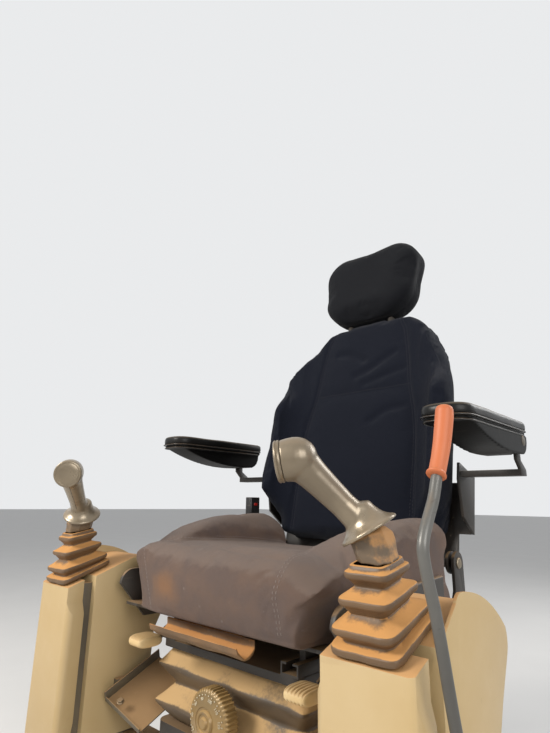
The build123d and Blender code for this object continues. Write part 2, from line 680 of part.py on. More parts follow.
profile = outline((CUSHION_REAR_Y, cushion_z), (CUSHION_REAR_Y, CUSHION_REAR_Z),
                  (CUSHION_SEAT_REAR_Y, CUSHION_REAR_Z + EAR_THICKNESS),
                  ((CUSHION_DISH_Y, CUSHION_DISH_Z), (CUSHION_CREST_Y, CUSHION_TOP_Z)), roll_curve,
                  (CUSHION_FRONT_Y + LIP_RISE / 4, CUSHION_FRONT_BOTTOM_Z + LIP_RISE), lip_curve,
                  (PAN_FRONT_Y, cushion_z))
bolster_root_z = CUSHION_REAR_Z - BOLSTER_ROOT
bolster_rear_z = BOLSTER_TOP_Z - BOLSTER_REAR_DROP
bolster_profile = outline(
    (CUSHION_REAR_Y, bolster_root_z), (CUSHION_REAR_Y, bolster_rear_z),
    ((CUSHION_REAR_Y - BOLSTER_REAR_R / 3, BOLSTER_TOP_Z - BOLSTER_REAR_DROP / 2),
     (CUSHION_REAR_Y - BOLSTER_REAR_R, BOLSTER_TOP_Z - BOLSTER_REAR_DROP / 6)),
    ((BOLSTER_MID_Y, BOLSTER_TOP_Z - BOLSTER_MID_DROP), (BOLSTER_START_Y, CUSHION_TOP_Z)),
    (BOLSTER_START_Y, bolster_root_z))
bolster_section = outline(
    (BOLSTER_INNER_X, bolster_root_z), (BOLSTER_INNER_X, CUSHION_DISH_Z),
    ((BOLSTER_INNER_X + BOLSTER_INNER_STEP, BOLSTER_TOP_Z - BOLSTER_INNER_DROP),
     (BOLSTER_RIDGE_X, BOLSTER_TOP_Z)),
    ((CUSHION_HALF_X - BOLSTER_OUTER_STEP, BOLSTER_TOP_Z - BOLSTER_OUTER_STEP),
     (CUSHION_HALF_X, bolster_rear_z)),
    (CUSHION_HALF_X, bolster_root_z))
bolster = across(bolster_profile, BOLSTER_INNER_X, CUSHION_HALF_X) & along(
    bolster_section, BOLSTER_START_Y, CUSHION_REAR_Y)
cushion = across(profile, -CUSHION_HALF_X, CUSHION_HALF_X) + both(bolster)
cushion &= upward(plan, pan_z - LIP_RISE, BOLSTER_TOP_Z + LIP_RISE)
save("seat_cushion", cushion)

# Side valances: a wall beside the cushion on a flange that meets the pan's edge
valance_inner_x = CUSHION_HALF_X + SEAT_GAP
valance_outer_x = valance_inner_x + VALANCE_WALL
valance_corner = ((VALANCE_FRONT_Y + VALANCE_CORNER_R * 0.3, VALANCE_FRONT_Z - VALANCE_CORNER_R * 0.3),
                  (VALANCE_FRONT_Y, VALANCE_FRONT_Z - VALANCE_CORNER_R))
valance_wall = across(
    outline((VALANCE_REAR_Y, VALANCE_BOTTOM_Z), (VALANCE_REAR_Y, VALANCE_REAR_Z),
            (VALANCE_FRONT_Y + VALANCE_CORNER_R, VALANCE_FRONT_Z), valance_corner,
            (VALANCE_FOOT_Y, VALANCE_BOTTOM_Z)), valance_inner_x, valance_outer_x)
valance_wall = fillet(valance_wall.faces().sort_by(Axis.X)[-1].edges(), VALANCE_EDGE_R)
valance_flange = block(PAN_HALF_X, valance_inner_x + VALANCE_EDGE_R, PAN_FRONT_Y, VALANCE_REAR_Y,
                       pan_z, pan_top_z)
save_pair("seat_valance", valance_wall + valance_flange)

# Handle bar: a curved gutter under the cushion's front, on a flange under the pan
bar_floor_z = BAR_BOTTOM_Z + BAR_FLOOR_RISE
bar_corner_y = BAR_REAR_Y - BAR_CORNER_Y
bar_corner_z = BAR_BOTTOM_Z + BAR_CORNER_Z
bar_outer_curve = ((BAR_REAR_Y - BAR_CORNER_Y * 0.4, BAR_BOTTOM_Z + BAR_CORNER_Z * 0.17),
                   (bar_corner_y, BAR_BOTTOM_Z))
bar_inner_curve = ((BAR_REAR_Y - BAR_CORNER_Y * 0.5, BAR_BOTTOM_Z + BAR_CORNER_Z * 0.62),
                   (BAR_REAR_Y - BAR_WALL, bar_corner_z + BAR_WALL / 2))
bar_section = outline((BAR_REAR_Y, pan_z), (BAR_REAR_Y, bar_corner_z), bar_outer_curve,
                      (BAR_FRONT_Y, bar_floor_z), (BAR_FRONT_Y - BAR_WALL, BAR_LIP_Z), (BAR_FRONT_Y, BAR_LIP_Z),
                      (BAR_FRONT_Y + BAR_WALL, bar_floor_z + BAR_WALL),
                      (bar_corner_y, BAR_BOTTOM_Z + BAR_WALL), bar_inner_curve, (BAR_REAR_Y - BAR_WALL, pan_z))
bar_flange = block(-BAR_FLANGE_HALF_X, BAR_FLANGE_HALF_X, BAR_REAR_Y - BAR_WALL, BAR_FLANGE_REAR_Y,
                   pan_z - BAR_WALL, pan_z)
save("front_bar", across(bar_section, -BAR_HALF_X, BAR_HALF_X) + bar_flange)

# Paddle levers: a strip that hangs from the pan's flange and a ribbed paddle
strip_low_z = pan_z - LEVER_STRIP_DROP
strip_high_z = strip_low_z + LEVER_STRIP_HEIGHT
paddle_rear_y = PADDLE_FRONT_Y + PADDLE_DEPTH
strip = across(outline((LEVER_FLANGE_REAR_Y, strip_low_z), (LEVER_FLANGE_REAR_Y, strip_high_z),
                       (LEVER_FLANGE_FRONT_Y, strip_high_z), (paddle_rear_y, PADDLE_Z + LEVER_STRIP_HEIGHT / 2),
                       (paddle_rear_y, PADDLE_Z - LEVER_STRIP_HEIGHT / 2), (LEVER_FLANGE_FRONT_Y, strip_low_z)),
               PADDLE_X - LEVER_STRIP / 2, PADDLE_X + LEVER_STRIP / 2)
save_pair("slide_lever", strip)
paddle = Pos(PADDLE_X, PADDLE_FRONT_Y + PADDLE_DEPTH / 2, PADDLE_Z) * Box(
    PADDLE_WIDTH, PADDLE_DEPTH, PADDLE_THICKNESS)
paddle = fillet(paddle.edges().filter_by(Axis.Z), PADDLE_CORNER_R)
rib_pitch = PADDLE_DEPTH / (PADDLE_RIBS + 1)
groove_width = rib_pitch * 0.4
for n in range(1, PADDLE_RIBS + 1):
    for level in (-1, 1):
        paddle -= Pos(PADDLE_X, PADDLE_FRONT_Y + n * rib_pitch, PADDLE_Z + level * PADDLE_THICKNESS / 2) * Box(
            PADDLE_WIDTH, groove_width, 2 * PADDLE_GROOVE)
save_pair("lever_paddle", paddle)

# Everything on the backrest is drawn upright at the hinge, then leaned back
lean = Pos(0, HINGE_Y, HINGE_Z) * Rot(-RECLINE, 0, 0)


def back_outline(inset):
    """The backrest's outline in (X, height), or a smaller one with an inset."""
    right = [(half - inset, height) for height, half in BACK_OUTLINE]
    mid = (BACK_SHOULDER_MID[1] - inset, BACK_SHOULDER_MID[0] - inset * 0.4)
    end = (BACK_SHOULDER_END[1] - inset, BACK_SHOULDER_END[0] - inset * 0.7)
    top = (0, BACK_TOP - inset * 0.7)
    start = right[0]
    left = [(-x, z) for x, z in reversed(right)]
    return outline(start, *right[1:], (mid, end), (top, (-end[0], end[1])), ((-mid[0], mid[1]), left[0]),
                   *left[1:])


ridge_x = BACK_HALF_X - BACK_RIDGE_INSET
hollow_x = ridge_x - BACK_BOLSTER_SLOPE
slope_mid = (ridge_x - BACK_BOLSTER_SLOPE / 2, BACK_FRONT - BACK_BOLSTER_HOLLOW)
ridge_round = (BACK_HALF_X - BACK_RIDGE_ROUND / 2, BACK_BOLSTER_FRONT + BACK_RIDGE_ROUND / 2)
rear_x = BACK_HALF_X - BACK_REAR_INSET
back_section = outline(
    (-rear_x, BACK_REAR), (-BACK_HALF_X, BACK_WIDEST),
    ((-ridge_round[0], ridge_round[1]), (-ridge_x, BACK_BOLSTER_FRONT)),
    ((-slope_mid[0], slope_mid[1]), (-hollow_x, BACK_FRONT)), (hollow_x, BACK_FRONT),
    (slope_mid, (ridge_x, BACK_BOLSTER_FRONT)), (ridge_round, (BACK_HALF_X, BACK_WIDEST)), (rear_x, BACK_REAR))
back_pad = along(back_outline(0), BACK_BOLSTER_FRONT, BACK_REAR) & upward(back_section, 0, BACK_TOP)
guide_y = HEADREST_CENTRE + POST_OFFSET
back_pad -= both(rod_z(GUIDE_R + SEAT_GAP, POST_BOTTOM - POST_CLEAR, BACK_TOP, POST_X, guide_y))
bolster_reach = BACK_BOLSTER_FRONT - POST_CLEAR
back_pad -= across(outline((BACK_FRONT, 0), (BACK_FRONT, BACK_BOLSTER_START),
                           (bolster_reach, BACK_BOLSTER_START + BACK_BOLSTER_RISE), (bolster_reach, 0)),
                   -BACK_HALF_X, BACK_HALF_X)
save("back_cushion", lean * back_pad)

# Back frame: a plate behind the cushion with hinge ears, pins and lugs for the armrest brackets
plate_front = BACK_REAR + SEAT_GAP
plate_rear = plate_front + FRAME_PLATE
back_frame = along(back_outline(FRAME_INSET), plate_front, plate_rear)
inner_ear_x = EAR_X - EAR_THICKNESS
inner_ear = across(outline(
    (-EAR_R, 0), ((0, -EAR_R), (EAR_R * 0.67, -EAR_R * 0.76)), (plate_rear, EAR_PLATE_BOTTOM),
    (plate_rear, EAR_PLATE_TOP), (plate_front, EAR_PLATE_TOP), (plate_front, BACK_BOTTOM - FRAME_PLATE),
    (EAR_R * 0.81, EAR_R * 0.81), ((0, EAR_R), (-EAR_R, 0))), inner_ear_x, EAR_X)
hinge_pin = rod_x(HINGE_PIN_R, inner_ear_x, ear_outside_x + HINGE_PIN_END, 0, 0)
lug = block(BACK_HALF_X - FRAME_INSET - LUG_REACH, BRACKET_PLATE_X, plate_front, plate_rear,
            LUG_BOTTOM, LUG_TOP)
web = block(BACK_OUTLINE[0][1] - FRAME_INSET - LUG_REACH, EAR_X, plate_front, plate_rear, EAR_PLATE_BOTTOM,
            EAR_PLATE_TOP)
back_frame += both(inner_ear + hinge_pin) + both(lug) + both(web)
save("back_frame", lean * back_frame)

guide = rod_z(GUIDE_R, GUIDE_BOTTOM, BACK_TOP + SEAT_GAP, POST_X, guide_y)
guide -= rod_z(POST_R + PIN_GAP, GUIDE_BOTTOM, BACK_TOP + SEAT_GAP, POST_X, guide_y)
save("post_guides", lean * both(guide))

# Rear shell over the frame plate
shell = extrude(Pos(0, plate_rear, 0) * (Plane.XZ * back_outline(SHELL_INSET)), amount=SHELL_THICKNESS,
                dir=(0, 1, 0), taper=SHELL_TAPER)
save("back_shell", lean * shell)

# Headrest pad and posts
pad_z = HEADREST_BOTTOM + HEADREST_HEIGHT / 2
pad = Pos(0, HEADREST_CENTRE, pad_z) * Box(HEADREST_WIDTH, HEADREST_THICKNESS, HEADREST_HEIGHT)
pad = fillet(pad.edges().filter_by(Axis.Y), HEADREST_CORNER_R)
pad = fillet(pad.edges(), HEADREST_EDGE_R)
post_top = HEADREST_BOTTOM + POST_IN_PAD
pad -= both(rod_z(POST_R + SEAT_GAP, HEADREST_BOTTOM, post_top + SEAT_GAP, POST_X, guide_y))
save("headrest_pad", lean * pad)
save("headrest_posts", lean * both(rod_z(POST_R, POST_BOTTOM, post_top, POST_X, guide_y)))

# Armrest: a pad on a thin rim plate, and under it a narrower wedge with a slot for the bracket
arm_outer_x = ARM_INNER_X + ARM_WIDTH


def arm_plan(inset):
    """The armrest's outline from above, or a smaller one with an inset."""
    x0, x1 = ARM_INNER_X + inset, arm_outer_x - inset
    y0, y1 = ARM_FRONT_Y + inset, ARM_REAR_Y - inset
    tip, rear = ARM_TIP_R - inset, ARM_REAR_R - inset
    tip_cut, rear_cut = ARM_TIP_CUT * tip / ARM_TIP_R, ARM_REAR_CUT * rear / ARM_REAR_R
    return outline((x0, y1 - rear), (x0, y0 + tip), ((x0 + tip_cut, y0 + tip_cut), (x0 + tip, y0)),
                   (x1 - tip, y0), ((x1 - tip_cut, y0 + tip_cut), (x1, y0 + tip)), (x1, y1 - rear),
                   ((x1 - rear_cut, y1 - rear_cut), (x1 - rear, y1)), (x0 + rear, y1),
                   ((x0 + rear_cut, y1 - rear_cut), (x0, y1 - rear)))


arm_split_z = ARM_TOP_Z - ARM_PAD_THICKNESS
arm_pad = fillet(upward(arm_plan(0), arm_split_z, ARM_TOP_Z).edges().group_by(Axis.Z)[-1], ARM_EDGE_R)
save_pair("armrest_pad", arm_pad)

arm_rim_z = arm_split_z - ARM_RIM_THICKNESS
wedge_low_z = arm_split_z - ARM_SHELL_DEPTH
wedge_front_y = ARM_FRONT_Y + ARM_SHELL_FRONT
wedge_face = outline((wedge_front_y, arm_rim_z), ((ARM_PIVOT_Y * 0.15, wedge_low_z + ARM_RIM_THICKNESS),
                                                  (ARM_PIVOT_Y * 0.75, wedge_low_z)),
                     (ARM_PIVOT_Y, wedge_low_z + ARM_RIM_INSET / 2),
                     ((ARM_REAR_Y - ARM_RIM_INSET - ARM_REAR_CUT, wedge_low_z + ARM_REAR_R),
                      (ARM_REAR_Y - ARM_RIM_INSET, arm_rim_z)))
arm_shell = across(wedge_face, ARM_INNER_X + ARM_SHELL_INSET, arm_outer_x - ARM_RIM_INSET)
arm_shell += upward(arm_plan(ARM_RIM_INSET), arm_rim_z, arm_split_z)
upright_mid_x = BRACKET_UPRIGHT_X + BRACKET_THICKNESS / 2
slot_x0, slot_x1 = upright_mid_x - ARM_SLOT_WIDTH / 2, upright_mid_x + ARM_SLOT_WIDTH / 2
arm_shell -= block(slot_x0, slot_x1, ARM_PIVOT_Y - ARM_SLOT_FRONT, ARM_REAR_Y, wedge_low_z,
                   ARM_PIVOT_Z + ARM_SLOT_RISE)
pin_x0, pin_x1 = slot_x0 - ARM_PIN_REACH, arm_outer_x - ARM_RIM_INSET - ARM_PIN_R / 4
arm_shell -= rod_x(ARM_PIN_R + PIN_GAP, pin_x0 - SEAT_GAP, pin_x1 + SEAT_GAP, ARM_PIVOT_Y, ARM_PIVOT_Z)
save_pair("armrest_shell", arm_shell)

# Armrest bracket: side plate on the back frame, bar outward and upright with the pivot pin
side_plate = lean * across(outline((plate_rear, LUG_BOTTOM), (plate_rear, LUG_TOP + 11), (-44, LUG_TOP + 21),
                                   (-44, LUG_TOP - 13), (-18, LUG_BOTTOM + 24)),
                           BRACKET_PLATE_X, BRACKET_PLATE_X + BRACKET_THICKNESS)
bar_y0, bar_y1 = BRACKET_BAR_Y - BRACKET_BAR_DEPTH / 2, BRACKET_BAR_Y + BRACKET_BAR_DEPTH / 2
bar_z0, bar_z1 = BRACKET_BAR_Z - BRACKET_BAR_HEIGHT / 2, BRACKET_BAR_Z + BRACKET_BAR_HEIGHT / 2
strap_front_y, strap_rear_y = ARM_PIVOT_Y - BRACKET_STRAP_HALF, ARM_PIVOT_Y + BRACKET_STRAP_HALF
upright_outside_x = BRACKET_UPRIGHT_X + BRACKET_THICKNESS
bar = block(BRACKET_PLATE_X, upright_outside_x, bar_y0, bar_y1, bar_z0, bar_z1)
upright = across(outline((bar_y1, bar_z0), (bar_y0, bar_z0), (bar_y0, bar_z1),
                         (strap_front_y, bar_z1 + BRACKET_FLARE), (strap_front_y, ARM_PIVOT_Z),
                         ((ARM_PIVOT_Y, ARM_PIVOT_Z + BRACKET_STRAP_HALF), (strap_rear_y, ARM_PIVOT_Z)),
                         (strap_rear_y, bar_z1 + BRACKET_FLARE), (bar_y1, bar_z1)),
                 BRACKET_UPRIGHT_X, upright_outside_x)
stub = rod_x(ARM_PIN_R, pin_x0, pin_x1, ARM_PIVOT_Y, ARM_PIVOT_Z)
save_pair("armrest_bracket", side_plate + bar + upright + stub)

# Seat belt: buckle on a stalk at the right
stalk_x0 = -BUCKLE_X - STALK_THICKNESS
buckle_low_z = BUCKLE_TOP_Z - BUCKLE_HEIGHT
stalk = block(stalk_x0, -ear_outside_x, BUCKLE_Y - STALK_FOOT_HALF_Y, BUCKLE_Y + STALK_FOOT_HALF_Y,
              pan_z, pan_top_z)
stalk += block(stalk_x0, -BUCKLE_X, BUCKLE_Y - STALK_HALF_Y, BUCKLE_Y + STALK_HALF_Y, pan_z, buckle_low_z)
save("buckle_stalk", stalk)
buckle = block(-BUCKLE_X - BUCKLE_OUTER, -BUCKLE_X + BUCKLE_INNER, BUCKLE_Y - BUCKLE_HALF_Y,
               BUCKLE_Y + BUCKLE_HALF_Y, buckle_low_z, BUCKLE_TOP_Z)
buckle = fillet(buckle.edges().filter_by(Axis.Z), BUCKLE_CORNER_R)
buckle -= block(-BUCKLE_X - BUCKLE_SLOT_OUTER, -BUCKLE_X + BUCKLE_SLOT_INNER, BUCKLE_Y - BUCKLE_SLOT_HALF_Y,
                BUCKLE_Y + BUCKLE_SLOT_HALF_Y, BUCKLE_TOP_Z - BUCKLE_SLOT_DEPTH, BUCKLE_TOP_Z)
save("belt_buckle", buckle)

# Seat belt: retractor on its hanging anchor at the left, with the parked tongue in its mouth
retractor_y0, retractor_y1 = RETRACTOR_Y - RETRACTOR_HALF_Y, RETRACTOR_Y + RETRACTOR_HALF_Y
retractor_z = ANCHOR_Z + ANCHOR_THICKNESS
retractor_top_z = retractor_z + RETRACTOR_HEIGHT
anchor = block(ear_outside_x, ear_outside_x + ANCHOR_THICKNESS, retractor_y0 - ANCHOR_MARGIN,
               retractor_y1 + ANCHOR_MARGIN, ANCHOR_Z, pan_top_z)
anchor += block(ear_outside_x, RETRACTOR_X + RETRACTOR_WIDTH, retractor_y0 - ANCHOR_MARGIN,
                retractor_y1 + ANCHOR_MARGIN, ANCHOR_Z, retractor_z)
save("belt_anchor", anchor)
retractor = block(RETRACTOR_X, RETRACTOR_X + RETRACTOR_WIDTH, retractor_y0, retractor_y1,
                  retractor_z, retractor_top_z)
retractor = fillet(retractor.edges().filter_by(Axis.X), RETRACTOR_CORNER_R)
slot_floor_z = retractor_top_z - RETRACTOR_SLOT_DEPTH
belt_slot_x = RETRACTOR_X + RETRACTOR_SLOT_X
retractor -= block(belt_slot_x, belt_slot_x + RETRACTOR_SLOT_WIDTH, RETRACTOR_Y - RETRACTOR_SLOT_HALF_Y,
                   RETRACTOR_Y + RETRACTOR_SLOT_HALF_Y, slot_floor_z, retractor_top_z)
save("belt_retractor", retractor)
tongue_z = slot_floor_z + SEAT_GAP
tongue_mid_x = belt_slot_x + RETRACTOR_SLOT_WIDTH / 2
tongue_x0, tongue_x1 = tongue_mid_x - TONGUE_THICKNESS / 2, tongue_mid_x + TONGUE_THICKNESS / 2
tongue = block(tongue_x0, tongue_x1, RETRACTOR_Y - TONGUE_HALF_Y, RETRACTOR_Y + TONGUE_HALF_Y, tongue_z,
               tongue_z + TONGUE_PLATE)
tongue += block(tongue_mid_x - TONGUE_BODY_THICKNESS / 2, tongue_mid_x + TONGUE_BODY_THICKNESS / 2,
                RETRACTOR_Y - TONGUE_BODY_HALF_Y, RETRACTOR_Y + TONGUE_BODY_HALF_Y,
                tongue_z + TONGUE_BODY_LOW, tongue_z + TONGUE_BODY_HIGH)
tongue += block(tongue_x0, tongue_x1, RETRACTOR_Y - TONGUE_TIP_HALF_Y, RETRACTOR_Y + TONGUE_TIP_HALF_Y,
                tongue_z + TONGUE_BODY_HIGH, tongue_z + TONGUE_TIP)
save("belt_tongue", tongue)

# Consoles: front and rear mouldings either side of a slot with the steel core in it
slope = math.tan(math.radians(CONSOLE_SLOPE))


def console_top(y):
    """Height of the sloping console top under the boot."""
    return CONSOLE_TOP_FRONT_Z + (y - CONSOLE_FRONT_Y) * slope


front_top = across(outline((CONSOLE_FRONT_Y, CONSOLE_BOTTOM_Z), (CONSOLE_FRONT_Y, console_top(CONSOLE_FRONT_Y)),
                           (CONSOLE_SLOT_FRONT_Y, console_top(CONSOLE_SLOT_FRONT_Y)),
                           (CONSOLE_SLOT_FRONT_Y, CONSOLE_BOTTOM_Z)), CONSOLE_INNER_X, CONSOLE_OUTER_X)
foot_z = CONSOLE_BOTTOM_Z + CONSOLE_FOOT_RISE
shoulder_low_z = CONSOLE_SHOULDER_Z - CONSOLE_SHOULDER_BAND
shoulder_high_z = CONSOLE_SHOULDER_Z + CONSOLE_SHOULDER_BAND
front_face = outline((CONSOLE_INNER_X + CONSOLE_FOOT_CUT, CONSOLE_BOTTOM_Z), (CONSOLE_INNER_X, foot_z),
                     (CONSOLE_INNER_X, shoulder_low_z), (CONSOLE_NECK_INNER_X, shoulder_high_z),
                     (CONSOLE_NECK_INNER_X, CONSOLE_CLEAR_Z), (CONSOLE_NECK_OUTER_X, CONSOLE_CLEAR_Z),
                     (CONSOLE_NECK_OUTER_X, shoulder_high_z), (CONSOLE_OUTER_X, shoulder_low_z),
                     (CONSOLE_OUTER_X, foot_z), (CONSOLE_OUTER_X - CONSOLE_FOOT_CUT, CONSOLE_BOTTOM_Z))
console_front = front_top & along(front_face, CONSOLE_FRONT_Y, CONSOLE_SLOT_FRONT_Y)
edge_y = CONSOLE_FRONT_Y + CONSOLE_EDGE_R
edge_inner_x, edge_outer_x = CONSOLE_INNER_X + CONSOLE_EDGE_R, CONSOLE_OUTER_X - CONSOLE_EDGE_R
cut_y = CONSOLE_FRONT_Y + CONSOLE_EDGE_CUT
corner_plan = outline((CONSOLE_INNER_X, CONSOLE_SLOT_FRONT_Y), (CONSOLE_INNER_X, edge_y),
                      ((CONSOLE_INNER_X + CONSOLE_EDGE_CUT, cut_y), (edge_inner_x, CONSOLE_FRONT_Y)),
                      (edge_outer_x, CONSOLE_FRONT_Y),
                      ((CONSOLE_OUTER_X - CONSOLE_EDGE_CUT, cut_y), (CONSOLE_OUTER_X, edge_y)),
                      (CONSOLE_OUTER_X, CONSOLE_SLOT_FRONT_Y))
console_front &= upward(corner_plan, CONSOLE_BOTTOM_Z, CONSOLE_CLEAR_Z)
save_pair("console_front", console_front)

slot_rear_top = (CONSOLE_SLOT_REAR_Y, console_top(CONSOLE_SLOT_REAR_Y))
slot_rear_foot = (CONSOLE_SLOT_REAR_Y, CONSOLE_BOTTOM_Z)
cover_down = ((COVER_REAR_MID, COVER_REAR_LOW), COVER_LOWER, COVER_FOOT_HIGH, (COVER_FOOT_Y, CONSOLE_BOTTOM_Z))
rear_base = outline(slot_rear_foot, slot_rear_top, (BASE_TOP_REAR_Y, console_top(BASE_TOP_REAR_Y)),
                    (BASE_BACK, COVER_REAR_HIGH), *cover_down)
rear_lip = outline(slot_rear_foot, slot_rear_top, LIP_SHOULDER, (LIP_ROUND, LIP_PEAK),
                   (COVER_BACK, COVER_REAR_HIGH), *cover_down)
lip_inner_x = CONSOLE_OUTER_X - CONSOLE_LIP_WALL
console_rear = across(rear_base, CONSOLE_INNER_X, lip_inner_x) + across(rear_lip, lip_inner_x, CONSOLE_OUTER_X)
save_pair("console_rear", console_rear)

# Console core in the slot, shelf under the mouldings and the arm to the pedestal
core_top_z = console_top(CONSOLE_SLOT_FRONT_Y) - CORE_TOP_DROP
core = block(CONSOLE_NECK_INNER_X + CORE_INSET, CORE_OUTER_X, CONSOLE_SLOT_FRONT_Y, CONSOLE_SLOT_REAR_Y,
             CONSOLE_BOTTOM_Z, core_top_z)
shelf_z = CONSOLE_BOTTOM_Z - SHELF_THICKNESS
shelf = block(CONSOLE_INNER_X + SHELF_INSET, CONSOLE_OUTER_X - SHELF_INSET, CONSOLE_FRONT_Y + SHELF_THICKNESS,
              COVER_FOOT_Y, shelf_z, CONSOLE_BOTTOM_Z)
arm_tube = block(PEDESTAL_HALF_X - PEDESTAL_DRAFT - ARM_TUBE_OVERLAP, CONSOLE_OUTER_X - ARM_TUBE_END_INSET,
                 ARM_TUBE_FRONT_Y, ARM_TUBE_REAR_Y, ARM_TUBE_BOTTOM_Z, shelf_z)
gusset = across(outline((ARM_TUBE_FRONT_Y, ARM_TUBE_BOTTOM_Z), (ARM_TUBE_FRONT_Y, shelf_z),
                        (CONSOLE_FRONT_Y + GUSSET_FRONT, shelf_z)), GUSSET_X, GUSSET_X + GUSSET_THICKNESS)
console_arm = core + shelf + (arm_tube - pedestal_solid(0, pedestal_z, PEDESTAL_TOP_Z)) + gusset
lever_inner_x = LEVER_X - LEVER_R
lever_outer_x = LEVER_X + LEVER_R
pin_root_x = CORE_OUTER_X - LEVER_PIN_ROOT
pin_end_x = lever_outer_x + LEVER_SIDE_GAP + LEVER_HEAD_THICKNESS
pivot_pin = rod_x(LEVER_PIN_R, pin_root_x, pin_end_x, LEVER_PIVOT_Y, LEVER_PIVOT_Z)
pivot_pin += rod_x(LEVER_WASHER_R, pin_root_x, lever_inner_x - LEVER_SIDE_GAP, LEVER_PIVOT_Y, LEVER_PIVOT_Z)
pivot_pin += rod_x(LEVER_HEAD_R, lever_outer_x + LEVER_SIDE_GAP, pin_end_x, LEVER_PIVOT_Y, LEVER_PIVOT_Z)
save("console_arm_left", console_arm + pivot_pin)
save("console_arm_right", mirror(console_arm, about=Plane.YZ))

# Sloping trays bolted to the consoles' inner faces
tray = block(-TRAY_WIDTH, 0, 0, TRAY_LENGTH, 0, TRAY_THICKNESS)
tray += block(-TRAY_THICKNESS, 0, 0, TRAY_LENGTH, 0, TRAY_RIM)
tray += block(-TRAY_WIDTH, 0, 0, TRAY_THICKNESS, 0, TRAY_RIM / 2)
tray_edge_x = CONSOLE_INNER_X - TRAY_GAP
tray_tilt = Rot(TRAY_REAR_TILT, 0, 0) * Rot(0, -TRAY_SIDE_TILT, 0)
tray = Pos(tray_edge_x, TRAY_FRONT_Y, TRAY_FRONT_Z) * tray_tilt * tray
tray += block(tray_edge_x - TRAY_LUG_OVERLAP, CONSOLE_INNER_X, *TRAY_LUG_Y, *TRAY_LUG_Z)
save_pair("side_tray", tray)

# Boots: chamfered pleats that fan forward, in a lower and an upper half


def boot_section(centre_y, centre_z, tilt, width, depth, inset):
    """One level of the boot, as a chamfered face leaned forward by tilt."""
    corner = BOOT_CORNER if width > COLLAR_WIDTH + BOOT_NECK_MARGIN else COLLAR_CHAMFER
    wire = chamfered(width - 2 * inset, depth - 2 * inset, corner - inset / 2)
    return Pos(BOOT_X, centre_y, centre_z) * Rot(tilt, 0, 0) * make_face(wire)


def lifted(section, rise):
    """The same level moved along its own normal."""
    y, z, tilt, width, depth = section
    angle = math.radians(tilt)
    return (y - rise * math.sin(angle), z + rise * math.cos(angle), tilt, width, depth)


def between(low, high):
    """The valley between two levels."""
    middle = [(a + b) / 2 for a, b in zip(low, high)]
    size = [min(low[k], high[k]) - 2 * BOOT_VALLEY for k in (3, 4)]
    return (middle[0], middle[1], middle[2], size[0], size[1])


def bellows(levels):
    """Thin ruled walls through a list of levels, open at both ends."""
    cut = [lifted(levels[0], -LOFT_OVERLAP)] + levels[1:-1] + [lifted(levels[-1], LOFT_OVERLAP)]
    outside = loft([boot_section(*level, 0) for level in levels], ruled=True)
    return outside - loft([boot_section(*level, BOOT_WALL) for level in cut], ruled=True)


base_level = (BOOT_BASE_Y, console_top(BOOT_BASE_Y), CONSOLE_SLOPE, BOOT_BASE_WIDTH, BOOT_BASE_DEPTH)
base_low = lifted(base_level, SEAT_GAP)
base_high = lifted(base_low, BOOT_BASE_THICKNESS)
low_pleat, middle_pleat, high_pleat = PLEATS
middle_valley = between(low_pleat, middle_pleat)
boot_lower = bellows([base_low, base_high, between(base_high, low_pleat), lifted(low_pleat, -BOOT_RIM / 2),
                      lifted(low_pleat, BOOT_RIM / 2), lifted(middle_valley, -SEAT_GAP)])
save_pair("boot_lower", boot_lower)
boot_upper = bellows([lifted(middle_valley, SEAT_GAP), lifted(middle_pleat, -BOOT_RIM / 2),
                      lifted(middle_pleat, BOOT_RIM / 2), between(middle_pleat, high_pleat),
                      lifted(high_pleat, -BOOT_RIM / 2), lifted(high_pleat, BOOT_RIM / 2), BOOT_NECK])
save_pair("boot_upper", boot_upper)

# Universal joint under the boot: yoke on the console, gimbal block, and the stick's fork
px, py, pz = STICK_PIVOT
half = GIMBAL_WIDTH / 2
yoke_inner = half + YOKE_GAP
yoke_outer = yoke_inner + FORK_THICKNESS
cheek_face = outline((py - YOKE_HALF_Y, console_top(py - YOKE_HALF_Y)), (py - YOKE_HALF_Y, pz),
                     ((py, pz + YOKE_HALF_Y), (py + YOKE_HALF_Y, pz)),
                     (YOKE_FOOT_REAR_Y, console_top(YOKE_FOOT_REAR_Y)))
yoke = across(cheek_face, px + yoke_inner, px + yoke_outer)
yoke += across(cheek_face, px - yoke_outer, px - yoke_inner)
yoke -= rod_x(GIMBAL_PIN_R + PIN_GAP, px - yoke_outer, px + yoke_outer, py, pz)
save_pair("stick_yoke", yoke)

gimbal = block(px - half, px + half, py - half, py + half, pz - GIMBAL_HALF_Z, pz + GIMBAL_HALF_Z)
gimbal += rod_x(GIMBAL_PIN_R, px - yoke_outer, px + yoke_outer, py, pz)
gimbal -= rod_y(GIMBAL_PIN_R + PIN_GAP, py - half, py - half + GIMBAL_BORE, px, pz)
gimbal -= rod_y(GIMBAL_PIN_R + PIN_GAP, py + half - GIMBAL_BORE, py + half, px, pz)
save_pair("stick_gimbal", gimbal)

